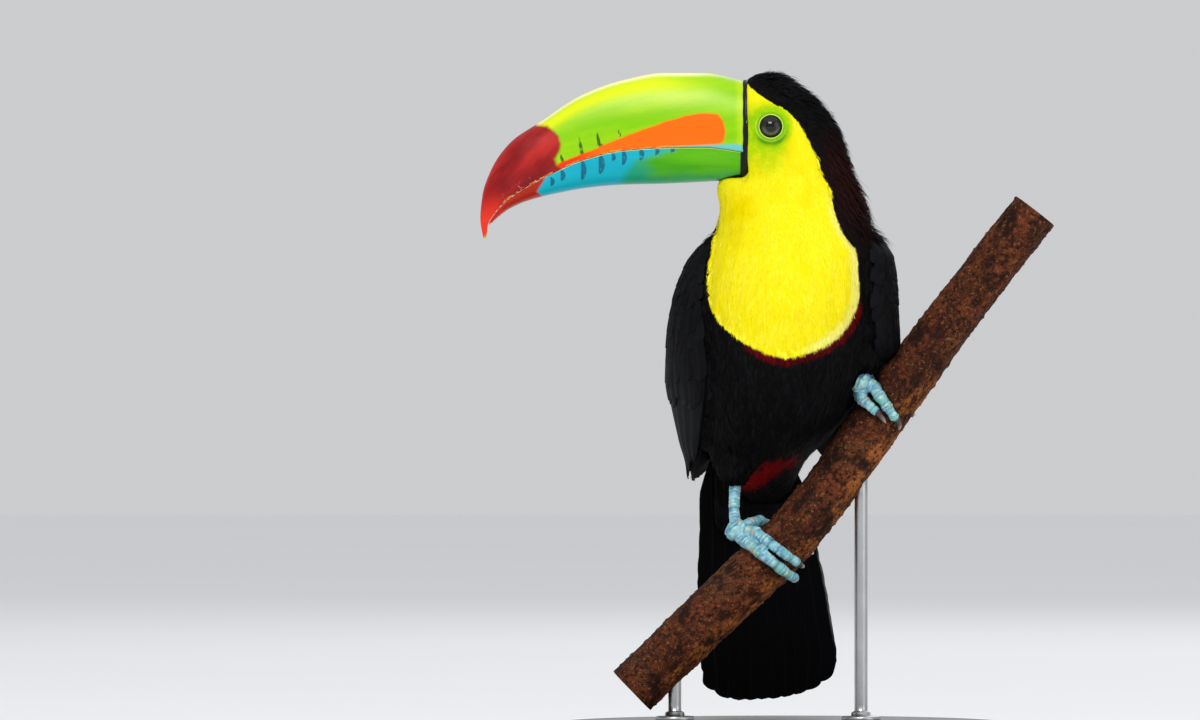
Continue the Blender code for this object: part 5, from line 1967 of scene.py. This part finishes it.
    def build_half(self, upper: bool) -> Piece:
        """One mandible as a closed piece, hollowed a little between its biting edges.

        Args:
            upper: which of the two.

        Returns:
            The piece.
        """
        points, t, rise = self.half(upper)
        numbers = self.numbers(upper, points, t, rise)
        left, right = points[:, -1], points[:, 0]
        shares = (0.03, 0.25, 0.5, 0.75, 0.97)
        inner = np.stack([left * (1 - s) + right * s for s in shares], 1)
        hollow = (smooth(0.0, 0.1, t) * smooth(1.0, 0.9, t))[:, None]
        inner[:, 1:4, 2] += (self.hollow if upper else -self.hollow) * hollow
        ring = np.concatenate([points, inner], 1)
        for key, row in numbers.items():
            row = np.concatenate([row, np.repeat(row[:, -1:], len(shares), 1)], 1)
            numbers[key] = np.concatenate([row.ravel(), row[[0, -1]].mean(1)])
        ends = ring[[0, -1]].mean(1)
        finish = UPPER_HORN if upper else LOWER_HORN
        name = "horn_upper" if upper else "horn_lower"
        shape = np.vstack([ring.reshape(-1, 3), ends])
        made = face_outwards(make_piece(name, shape, rounded_ends(*ring.shape[:2]), finish.make(), numbers))
        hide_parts("bill_upper" if upper else "bill_lower")
        return made

    def notch(self, x: Array, v: Array, wide: float, upper: bool) -> Array:
        """The shape of a dark mark: a wedge above the bite, a crescent below it.

        Args:
            x: millimetres along the bill from the mark's middle.
            v: its height, -1 to 1 over the mark.
            wide: the mark's width.
            upper: which mandible.

        Returns:
            How deep each point lies in the mark.
        """
        if upper:
            half = wide * 1.5 * np.sqrt(np.clip(1 - v, 0, 2) / 2) * np.sqrt(np.clip(1 + v, 0, 1))
            return (half - np.abs(x + 0.9 * v)) / 0.7
        half = wide * 1.5 * np.sqrt(np.clip(1 - v**2, 0, 1))
        return (half - np.abs(x - 0.9 * (1 - v**2))) / 0.8

    def collar(self) -> Piece:
        """The raised black rim where the horn meets the face."""
        upper, lower = self.half(True)[0], self.half(False)[0]
        section = np.concatenate([upper[0, 1:-1], lower[0, 1:-1][::-1]])
        for _ in range(3):
            section = (np.roll(section, 1, 0) + 2 * section + np.roll(section, -1, 0)) / 4
        out = unit((section - (0, BIRD_Y, 284.5)) * (0, 1, 1))
        low = smooth(272, 266, section[:, 2])
        rings = []
        for x, swell in ((1.3, -1.0), (1.1, 0.3), (0.5, 0.85), (-0.7, 0.95), (-1.6, 0.6), (-1.9, -1.2)):
            ring = section + out * swell
            ring[:, 0] = BILL_BASE_X - x * (1 + 0.5 * low) + 0.12 * np.sin(np.arange(len(ring)) * 0.9)
            rings.append(ring[::2])
        rows, around = len(rings), len(rings[0])
        deep = {"rim": 3.0, "bite": 5.0, "ember": -5.0, "flash": -5.0, "wedge": -5.0, "notch": -5.0}
        numbers = {key: np.full(rows * around, value) for key, value in deep.items()}
        faces = [grid_faces(rows, around, True)]
        made = make_piece("horn_collar", np.concatenate(rings), faces, UPPER_HORN.make(), numbers)
        return made

    def build(self) -> list[Piece]:
        """Both halves and the rim."""
        return [self.build_half(True), self.build_half(False), self.collar()]


@dataclass(frozen=True)
class Eyes:
    """Glossy eyeballs with the iris and pupil drawn round the axis that points outwards."""

    radius: float = EYE_RADIUS
    cornea: float = 0.35
    rings: int = 48
    around: int = 96

    def build(self, side: str) -> Piece:
        """One eyeball, its cornea a little proud.

        Args:
            side: left or right.

        Returns:
            The piece.
        """
        outward = -1.0 if side == "left" else 1.0
        a = np.linspace(0.0, np.pi, self.rings)[1:-1, None]
        b = np.linspace(0, 2 * np.pi, self.around, endpoint=False)[None]
        out, front = self.radius * np.sin(a) + 0 * b, np.cos(a) > 0
        bulge = self.radius + self.cornea * np.exp(-((out / 3.4) ** 2)) * front
        centre = np.array([EYE_X, BIRD_Y + outward * EYE_Y, EYE_Z])
        flat = bulge * np.sin(a)
        points = centre + np.stack([flat * np.cos(b), outward * bulge * np.cos(a), flat * np.sin(b)], -1)
        tips = centre + outward * np.array([[0, self.radius + self.cornea, 0], [0, -self.radius, 0]])
        # Where the iris is painted lighter by light from above: its lower half.
        low = smooth(0.35, -0.75, np.sin(b)) * smooth(2.0, 3.6, out)
        rows = {"out": (np.where(front, out, 6.0), (0, 6)), "ray": (24 * b + 0 * a, (0, 0)), "low": (low, (0, 0))}
        numbers = {key: np.concatenate([row.ravel(), ends]) for key, (row, ends) in rows.items()}
        shape, faces = np.vstack([points.reshape(-1, 3), tips]), rounded_ends(*out.shape)
        made = face_outwards(make_piece("eyeball_" + side, shape, faces, EYE_GLOSS.make(), numbers))
        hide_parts("eye_" + side)
        return made


# --- perch

PERCH_Y = -5.0
PERCH_ROWS = (  # x, z, radius
    (-69.8, 26.6, 12.7), (-31.2, 63.8, 12.6), (4.2, 98.4, 12.5), (20.8, 119.6, 12.2), (49.9, 160.8, 12),
    (81.1, 202.4, 11.7), (116.4, 248.1, 11.3),
)
KNOTS = (  # share along, turn, height
    (0.13, 2.4, 0.7), (0.41, 0.4, 0.5), (0.67, 4.1, 0.6), (0.88, 5.3, 0.9),
)


@dataclass
class Perch:
    """A cut length of rough branch."""

    rows: int = 320
    around: int = 128
    keys: Keys = field(init=False)
    length: float = field(init=False)

    def __post_init__(self) -> None:
        """Measures the branch along its middle line."""
        points = np.array([row[:2] for row in PERCH_ROWS])
        at = path_lengths(points)
        self.keys, self.length = Keys(at, PERCH_ROWS), float(at[-1])

    def frame(self, along: float | Array) -> tuple[Array, Array, Array, Array]:
        """Centre, axis, up-left normal and radius this far from the low end."""
        row = self.keys.read(along)
        axis = unit((self.keys.read(np.asarray(along) + 2) - self.keys.read(np.asarray(along) - 2))[..., :2])
        return row[..., :2], axis, np.stack([-axis[..., 1], axis[..., 0]], -1), row[..., 2]

    def bark_radius(self, along: float) -> float:
        """The radius this far from the low end."""
        return float(self.frame(along)[3])

    def round(self, along: float, angle: float, distance: float) -> Array:
        """A place round the branch.

        Args:
            along: millimetres from the low end.
            angle: degrees: 0 is the upper-left side, 90 the front.
            distance: millimetres from the middle line.

        Returns:
            The point.
        """
        centre, _, normal, _ = self.frame(along)
        a = math.radians(angle)
        x, z = centre + normal * distance * math.cos(a)
        return np.array((x, BIRD_Y + PERCH_Y - distance * math.sin(a), z))

    def height(self, x: float) -> float:
        """Height of the middle line above this x."""
        row = self.keys.read(np.linspace(0, self.length, 2000))
        return float(np.interp(x, row[:, 0], row[:, 1]))

    def ring(self, along: Array, turn: Array, r: Array) -> Array:
        """Rings of points round the middle line.

        Args:
            along: each ring's distance from the low end.
            turn: each point's turn round its ring, in radians.
            r: how far each point stands from the middle line.

        Returns:
            The points, row by row.
        """
        middle = self.keys.read(along)[:, :2]
        normal = self.frame(np.clip(along, 2.1, self.length - 2.1))[2]
        x, z = (middle[:, i, None] + normal[:, i, None] * r * np.cos(turn) for i in (0, 1))
        return np.stack([x, BIRD_Y + PERCH_Y - r * np.sin(turn), z], -1)

    def bark(self, along: Array, turn: Array) -> tuple[Array, Numbers]:
        """The bark between the two cuts, with plates, pits, knots and lichen-like warts.

        Args:
            along: each ring's distance from the low end.
            turn: each point's turn round a ring, in radians.

        Returns:
            The points and the numbers that the finish reads.
        """
        share = (along / self.length)[:, None]
        radius = self.frame(np.clip(along, 2.1, self.length - 2.1))[3]
        r = radius[:, None] + 0.25 * np.sin(3 * turn + 9 * share) + 0.2 * np.sin(2 * turn - 17 * share)
        for place, angle, height in KNOTS:
            off = np.remainder(turn - angle + np.pi, 2 * np.pi) - np.pi
            r = r + height * np.exp(-(((share - place) / 0.03) ** 2) - (off / 0.5) ** 2)
        even = self.ring(along, turn, r)
        coarse, fine, grit = wander(even, 9.0, 1.0), wander(even, 3.2, 2.0), wander(even, 1.25, 3.0)
        warts = np.maximum(wander(even, 2.2, 5.0) - 0.22, 0) * 2.2
        relief = 0.45 * coarse + 0.30 * fine + 0.16 * grit + warts * 0.55 - 0.25
        r = r + relief - 0.35 * np.exp(-np.minimum(along, self.length - along) / 0.8)[:, None]
        angle = np.degrees(turn)[None] + 16 * coarse
        # Where light is painted: a band along the front and lower right side, over most of the length.
        side_light = smooth(112, 128, angle) * smooth(205, 185, angle)
        side_light = side_light * smooth(0.0, 0.08, share) * smooth(0.80, 0.60, share + 0.1 * fine)
        numbers = {"relief": np.clip(0.5 + relief, 0, 1), "cut": 0 * r, "ring": 0 * r + 12.0, "side_light": side_light}
        return self.ring(along, turn, r), numbers

    def cut(self, rim: Array, hub: Array, axis: Array, discs: int = 16) -> tuple[Array, Numbers]:
        """A sawn end.

        Args:
            rim: the last ring of the bark.
            hub: the middle of the cut.
            axis: the branch's direction out of it, as x and z.
            discs: rings from the rim inwards.

        Returns:
            The points, ending with the hub, and the numbers that the finish reads.
        """
        shares = np.linspace(1.0, 0.04, discs)
        disc = hub + shares[:, None, None] * (rim - hub)
        saw = 0.10 * np.sin(disc[..., 1] * 2.1) * (shares < 0.97)[:, None]
        disc += saw[..., None] * (axis[0], 0.0, axis[1])
        ring = np.append(np.linalg.norm(disc - hub, axis=-1), 0.0)
        relief = np.where(ring > 0, 0.3, 0.0)
        numbers = {"relief": relief, "cut": np.ones_like(ring), "ring": ring, "side_light": np.zeros_like(ring)}
        return np.vstack([disc.reshape(-1, 3), hub]), numbers

    def build(self) -> Piece:
        """The bark, with ringed wood at each cut."""
        along = np.linspace(0, 1, self.rows) * self.length
        turn = 2 * np.pi * np.arange(self.around) / self.around
        rings, numbers = self.bark(along, turn)
        points, rows = [rings.reshape(-1, 3)], {key: [row.ravel()] for key, row in numbers.items()}
        faces = [grid_faces(self.rows, self.around, True)]
        centre = self.keys.read(along)[:, :2]
        for end, inward in ((0, 1), (-1, -2)):
            hub = np.array([centre[end, 0], BIRD_Y + PERCH_Y, centre[end, 1]])
            disc, its_own = self.cut(rings[end], hub, unit(centre[end] - centre[inward]))
            start, last = sum(map(len, points)), len(disc) - 1
            faces.append(grid_faces(last // self.around, self.around, True) + start)
            faces.append(fan_faces(start + last - self.around, self.around, start + last))
            points.append(disc)
            for key, row in its_own.items():
                rows[key].append(row)
        values = {key: np.concatenate(row) for key, row in rows.items()}
        made = face_outwards(make_piece("branch", np.concatenate(points), faces, BARK.make(), values))
        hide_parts("perch_branch")
        return made


# --- feet

FEET = {  # toes: start and end along the perch from the joint, start and end angle, radii, claw turn, claw drift
    "right": {
        "along": 86.3, "lean": 16.0, "reach": 21.4,
        "leg": ((-22.6, -7, 111), (-22.2, -4, 120.1), (-21.5, -1, 133)), "radii": (2.7, 2.5, 2.7, 3),
        "toes": {
            "outer": (-0.5, 3.6, 30, 158, 3.1, 2.2, 34, 0.6),
            "inner": (5.6, 9.2, 34, 128, 2.9, 2.1, 34, 1),
            "hind": (11, 16.6, -14, -122, 2.7, 2, -34, 0.4),
            "fourth": (3, 5.6, -24, -112, 2.8, 2, -32, -0.6),
        },
    },
    "left": {
        "along": 179.0, "lean": 34.0, "reach": 19.6,
        "leg": ((33, -13.6, 178), (28, -9, 190)), "radii": (2.9, 2.8, 3),
        "toes": {
            "outer": (1.4, -4.2, 50, 112, 3, 2.1, 30, -3.6),
            "inner": (-6, -7, 42, 78, 2.7, 2, 26, -1.8),
            "hind": (3.6, 2.4, -4, -128, 2.7, 2, -46, -1.4),
            "fourth": (-5, -9, -8, -126, 2.7, 2, -32, -0.8),
        },
    },
}


@dataclass
class Foot:
    """A gripping foot: two toes before the branch and two behind, ringed with scales, and its claws."""

    side: str
    perch: Perch
    joint_radius: float = 4.5
    claw_radius: float = 1.5
    claw_points: int = 26
    gap: float = 0.5  # between a toe and the bark
    voxel: float = 0.38
    scale_step: float = 2.5
    joint_step: float = 6.6

    def paths(self) -> list[Pair]:
        """Points and radii of the leg, the palm and each toe."""
        foot = FEET[self.side]
        joint = self.perch.round(foot["along"], foot["lean"], foot["reach"])
        leg = np.vstack([joint, np.array(foot["leg"]) + (0, BIRD_Y, 0)])
        axis = self.perch.frame(foot["along"])[1]
        across = 2.6 * np.array((axis[0], 0.0, axis[1]))
        palm = np.array([joint - across, joint, joint + across])
        found = [(leg, np.array(foot["radii"])), (palm, self.joint_radius * np.array((0.8, 1, 0.8)))]
        for start, end, first, last, thick, thin, _, _ in foot["toes"].values():
            points, radii = [joint], [thick * 1.05]
            for share in np.linspace(0, 1, 7):
                along, radius = foot["along"] + start + (end - start) * share, thick + (thin - thick) * share
                distance = self.perch.bark_radius(along) + radius * 1.02 + self.gap
                points.append(self.perch.round(along, first + (last - first) * share, distance))
                radii.append(radius * (1 + 0.09 * math.cos(2 * math.pi * (share * 3.0 + 0.1))))
            found.append((np.array(points), np.array(radii)))
        return found

    def dense(self, points: Array, radii: Array, step: float = 0.45) -> tuple[Array, Array, Array]:
        """Resamples a path finely.

        Args:
            points: its points.
            radii: its radius at each.
            step: millimetres between the new points.

        Returns:
            Points, radii and the distance along.
        """
        at = path_lengths(points)
        fine = np.linspace(0, at[-1], max(int(at[-1] / step), 8))
        return Keys(at, points).read(fine), Keys(at, radii[:, None]).read(fine)[:, 0], fine

    def tube(self, path: Array, radii: Array, around: int = 20) -> Pair:
        """A limb with domed ends.

        Args:
            path: its middle line.
            radii: its radius at each point.
            around: points in each ring.

        Returns:
            Points and triangles.
        """
        ahead = unit(np.gradient(path, axis=0))
        dome = np.radians((80, 55, 28))
        before = [path[0] - ahead[0] * radii[0] * 0.8 * math.sin(d) for d in dome]
        after = [path[-1] + ahead[-1] * radii[-1] * 0.75 * math.sin(d) for d in dome[::-1]]
        full = np.vstack([before, path, after])
        wide = np.concatenate([radii[0] * np.cos(dome), radii, radii[-1] * np.cos(dome[::-1])])
        points, (quads, *caps) = closed_sweep(swept(full, wide, around), full[0], full[-1])
        return points, np.concatenate([split_quads(quads), *caps])

    def scales(self, points: Array, lines: Sequence[tuple[Array, Array, Array]]) -> Pair:
        """The plates and knuckles along the leg and each toe.

        Args:
            points: places on the foot.
            lines: the resampled paths.

        Returns:
            For each point, its place on a plate (0 at the seam, 1 in the middle) and how far it is raised.
        """
        best, seam, rise = np.full(len(points), 1e9), np.ones(len(points)), np.zeros(len(points))
        for number, (path, radii, at) in enumerate(lines):
            if number == 1:  # the palm has no plates of its own
                continue
            gap = np.linalg.norm(points[:, None] - path[None], axis=2) - radii[None]
            near = gap.argmin(1)
            closest = gap[np.arange(len(points)), near]
            ahead = unit(np.gradient(path, axis=0))[near]
            place = at[near] + np.sum((points - path[near]) * ahead, 1)
            swing = 2 * np.pi * place / self.joint_step + number
            phase = (place / self.scale_step + 0.34 * np.sin(swing)) % 1.0
            knuckle = 0.20 * np.cos(swing) - 0.36 * bell(0, 0.22, np.cos(swing / 2 + 0.9))
            plate = 0.26 * (np.minimum(np.minimum(phase * 4.0, 1.0), (1 - phase) * 1.6) - 0.6)
            use = closest < best
            best = np.where(use, closest, best)
            seam = np.where(use, np.minimum(phase, 1 - phase) * 2, seam)
            rise = np.where(use, plate + knuckle * (0.25 if number == 0 else 1.0), rise)
        return seam, rise

    def build(self) -> Piece:
        """The foot as one skin, then scales raised along each toe and the leg."""
        lines = [self.dense(*path) for path in self.paths()]
        name = "scaled_foot_" + self.side
        mesh = remeshed(name, [self.tube(path, radii) for path, radii, _ in lines], self.voxel, 2)
        points, normals = read_mesh(mesh)
        seam, rise = self.scales(points, lines)
        top = self.facing(points, normals) * (0.75 + 0.5 * wander(points, 2.6, 4.0))
        pads = 0.22 * wander(points, 1.3, 8.0)
        points = points + normals * (top * rise + (1 - top) * pads)[:, None]
        made = make_piece(name, points, [read_triangles(mesh)], SCALE_SKIN.make(), {"seam": seam, "top": top})
        bpy.data.meshes.remove(mesh)
        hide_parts("foot_" + self.side)
        return made

    def facing(self, points: Array, normals: Array) -> Array:
        """Tells the scaled side from the padded one.

        Args:
            points: places on the foot.
            normals: the normal at each.

        Returns:
            1 away from the branch and 0 towards it.
        """
        row = self.perch.keys.read(np.linspace(0, self.perch.length, 400))
        line = np.stack([row[:, 0], np.full(len(row), BIRD_Y + PERCH_Y), row[:, 1]], -1)
        near = np.array([np.linalg.norm(line - p, axis=1).argmin() for p in points])
        away = points - line[near]
        out = np.sum(normals * unit(away), 1)
        return np.where(np.linalg.norm(away, axis=1) > 24, 1.0, smooth(-0.25, 0.15, out))

    def claw(self, toe: str) -> Piece:
        """One curved claw that carries on round the branch.

        Args:
            toe: its key in FEET.

        Returns:
            The piece.
        """
        _, end, first, last, _, thin, turn, drift = FEET[self.side]["toes"][toe]
        base = FEET[self.side]["along"] + end
        bark = self.perch.bark_radius(base)
        ring, low = bark + thin * 1.02 + self.gap, bark + 0.7
        begin = last + math.copysign(1, last - first) * math.degrees((thin * 0.45 + 0.3) / ring)
        points, radii = [], []
        for share in np.linspace(-0.12, 1, self.claw_points):
            s = max(share, 0.0)
            distance = low + self.claw_radius * (1 - s) + (ring - low - self.claw_radius) * (1 - s) ** 2
            distance += 0.9 * math.sin(math.pi * s)
            points.append(self.perch.round(base + drift * share, begin + turn * share, distance))
            radii.append(self.claw_radius * (1 - s) ** 0.8 + 0.16)
        rings = swept(np.array(points), np.array(radii), 20)
        shape, faces = closed_sweep(rings, points[0], points[-1] + 0.3 * (points[-1] - points[-2]))
        along = np.append(np.repeat(np.linspace(0, 1, self.claw_points), 20), [0, 1])
        # How much pale point each claw takes, partly a painted glint; the right foot's claws take most.
        pale = 1.0 if self.side == "right" or toe in ("hind", "fourth") else 0.3
        numbers = {"along": along, "pale": np.full(len(along), pale)}
        made = face_outwards(make_piece(f"horn_{self.side}_{toe}", shape, faces, CLAW_HORN.make(), numbers))
        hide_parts(f"claw_{self.side}_{toe}")
        return made

    def claws(self) -> list[Piece]:
        """All four claws."""
        return [self.claw(toe) for toe in FEET[self.side]["toes"]]


# --- stand and studio


@dataclass(frozen=True)
class Stand:
    """A round lacquered base with two slim steel rods up to the perch."""

    radius: float = 105.0
    height: float = 12.0
    rod_radius: float = 3.0
    flange_radius: float = 9.0
    flange_height: float = 3.0
    rods: tuple[tuple[str, float], ...] = (("low", -50.0), ("high", 36.0))

    def turned(
        self,
        name: str,
        profile: Sequence[tuple[float, float]],
        place: tuple[float, float],
        finish: Finish,
        around: int,
    ) -> Piece:
        """A turned piece, closed at both ends.

        Args:
            name: the piece's name.
            profile: rows of radius and height.
            place: x and y of its axis.
            finish: its look.
            around: points in each ring.

        Returns:
            The piece.
        """
        turn = 2 * np.pi * np.arange(around) / around
        rings = np.array([[(r * math.cos(t), r * math.sin(t), z) for t in turn] for r, z in profile])
        ends = [(0, 0, profile[0][1]), (0, 0, profile[-1][1])]
        points = np.vstack([rings.reshape(-1, 3), ends]) + (*place, 0)
        return face_outwards(make_piece(name, points, rounded_ends(len(profile), around), finish.make()))

    def rounded(self, radius: float, height: float, bevel: float, steps: int = 6) -> list[tuple[float, float]]:
        """A quarter-round corner, from the side up to the top."""
        turns = np.linspace(0, np.pi / 2, steps)
        return [(radius - bevel + bevel * math.cos(t), height - bevel + bevel * math.sin(t)) for t in turns]

    def rod(self, label: str, x: float, top: float) -> Piece:
        """One rod with its flange.

        Args:
            label: which rod, as the CAD names it.
            x: where it stands.
            top: the height of its upper end, inside the branch.

        Returns:
            The piece.
        """
        h, f, rod, lid = self.height, self.flange_radius, self.rod_radius, self.height + self.flange_height
        profile = [(0.4, h - 5), (rod, h - 5), (rod, h + 0.3), (f - 0.5, h + 0.3), (f, h + 0.7)]
        profile += [*self.rounded(f, lid, 1.0, 5), (rod + 1.6, lid), (rod + 1.4, lid + 1.6)]
        profile += [(rod + 0.2, lid + 2.2), (rod, lid + 2.4)]
        profile += [(rod, z) for z in np.linspace(h + 8, top, 8)] + [(0.4, top)]
        made = self.turned("steel_rod_" + label, profile, (x, BIRD_Y + PERCH_Y), STEEL, 64)
        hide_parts("stand_rod_" + label)
        return made

    def build(self, perch: Perch) -> list[Piece]:
        """The base and the rods.

        Args:
            perch: what the rods carry.

        Returns:
            The pieces.
        """
        r, h = self.radius, self.height
        side = [(0.5, 0.0), (r - 3.0, 0.0), (r - 1.2, 0.25), (r - 0.5, 0.8), (r - 0.4, 1.4), (r, 2.0), (r, 8.0)]
        side += [*self.rounded(r, 9.6, 1.2), (r - 2.2, 9.7), *self.rounded(r - 2.6, h, 2.2), (r - 60, h), (2.0, h)]
        base = self.turned("base_disc", side, (0.0, 0.0), STAND_WOOD, 240)
        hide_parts("stand_base")
        return [base, *(self.rod(label, x, perch.height(x) - 9.0) for label, x in self.rods)]


@dataclass(frozen=True)
class Studio:
    """A pale floor, soft lights and the camera."""

    distance: float = 6000.0
    middle: tuple[float, float] = (-84.5, 179.3)
    width: float = 554.4

    target: tuple[float, float, float] = (0, 0, 0.2)

    def lamp(self, name: str, place: tuple[float, float, float], size: tuple[float, float], power: float) -> None:
        """A soft light turned to the model.

        Args:
            name: the light's name.
            place: where it hangs, in metres.
            size: how wide and how high it is, in metres.
            power: watts.
        """
        data = bpy.data.lights.new(name, "AREA")
        data.shape, data.energy = "RECTANGLE", power
        data.size, data.size_y = size
        holder = bpy.data.objects.new(name, data)
        holder.location = place
        holder.rotation_euler = (Vector(self.target) - Vector(place)).to_track_quat("-Z", "Y").to_euler()
        bpy.context.scene.collection.objects.link(holder)

    def build(self) -> None:
        """Builds the studio round the model."""
        corners = np.array([(x, y, -0.2) for x, y in ((-9e3, -9e3), (9e3, -9e3), (9e3, 9e3), (-9e3, 9e3))])
        floor = make_piece("floor", corners, [np.array([[0, 1, 2, 3]])], PAPER.make())
        scene = bpy.context.scene
        world = scene.world or bpy.data.worlds.new("studio")
        scene.world = world
        world.use_nodes = True
        g = Graph(world.node_tree)
        lit, seen = world.node_tree.nodes["Background"], g.add("ShaderNodeBackground")
        pick = g.add("ShaderNodeMixShader")
        for node, strength in ((lit, 0.56), (seen, 0.69)):
            node.inputs["Color"].default_value = srgb(240, 241, 243)
            node.inputs["Strength"].default_value = strength
        g.put(pick.inputs[0], g.add("ShaderNodeLightPath").outputs["Is Camera Ray"])
        g.put(pick.inputs[1], lit.outputs[0])
        g.put(pick.inputs[2], seen.outputs[0])
        g.put(world.node_tree.nodes["World Output"].inputs["Surface"], pick.outputs[0])
        self.lamp("key", (-0.4, -2.4, 2.2), (0.9 * 1.9, 0.9), 52)
        self.lamp("fill", (2.4, -1.8, 1.0), (2.0, 2.0), 13)
        self.lamp("back", (0.8, 2.4, 1.8), (1.6, 1.6), 12)
        sky = bpy.data.objects.new("sky", bpy.data.lights.new("sky", "SUN"))
        sky.data.energy, sky.data.angle = 0.6, 1.6
        scene.collection.objects.link(sky)
        camera = bpy.data.objects.new("camera", bpy.data.cameras.new("camera"))
        camera.data.sensor_width = 36.0
        camera.data.lens = 36.0 * self.distance / self.width
        camera.data.clip_start, camera.data.clip_end = 0.1, 100.0
        camera.location = (self.middle[0] * MM, (BIRD_Y - self.distance) * MM, self.middle[1] * MM)
        camera.rotation_euler = (math.pi / 2, 0, 0)
        scene.collection.objects.link(camera)
        scene.camera = camera
        scene.view_settings.view_transform = "Standard"


def main() -> None:
    """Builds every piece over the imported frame, in order."""
    logging.basicConfig(level=logging.INFO, format="%(message)s")
    for found in list(bpy.data.objects):
        bpy.data.objects.remove(found)
    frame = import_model()
    pieces: list[Piece] = []

    def keep(*made: Piece) -> None:
        """Rides the pieces on the model's one body and reports them."""
        for piece in made:
            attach(piece, "root")
            pieces.append(piece)
            LOG.info("%s: %d faces", piece.name, len(piece.data.polygons))

    skin = Skin()
    keep(skin.build(frame))
    keep(*Bill().build())
    keep(*(Eyes().build(side) for side in ("left", "right")))
    for coat in coats(skin):
        keep(coat.build(skin))
    keep(*Wing("right", WING_RIGHT, 21).build(), *Wing("left", WING_LEFT, 22).build())
    keep(*Tail().build())
    perch = Perch()
    keep(perch.build())
    for side in FEET:
        foot = Foot(side, perch)
        keep(foot.build(), *foot.claws())
    keep(*Stand().build(perch))
    Studio().build()
    total = sum(sum(len(p.vertices) - 2 for p in piece.data.polygons) for piece in pieces)
    LOG.info("%d pieces, %d triangles", len(pieces), total)


if __name__ == "__main__":
    main()
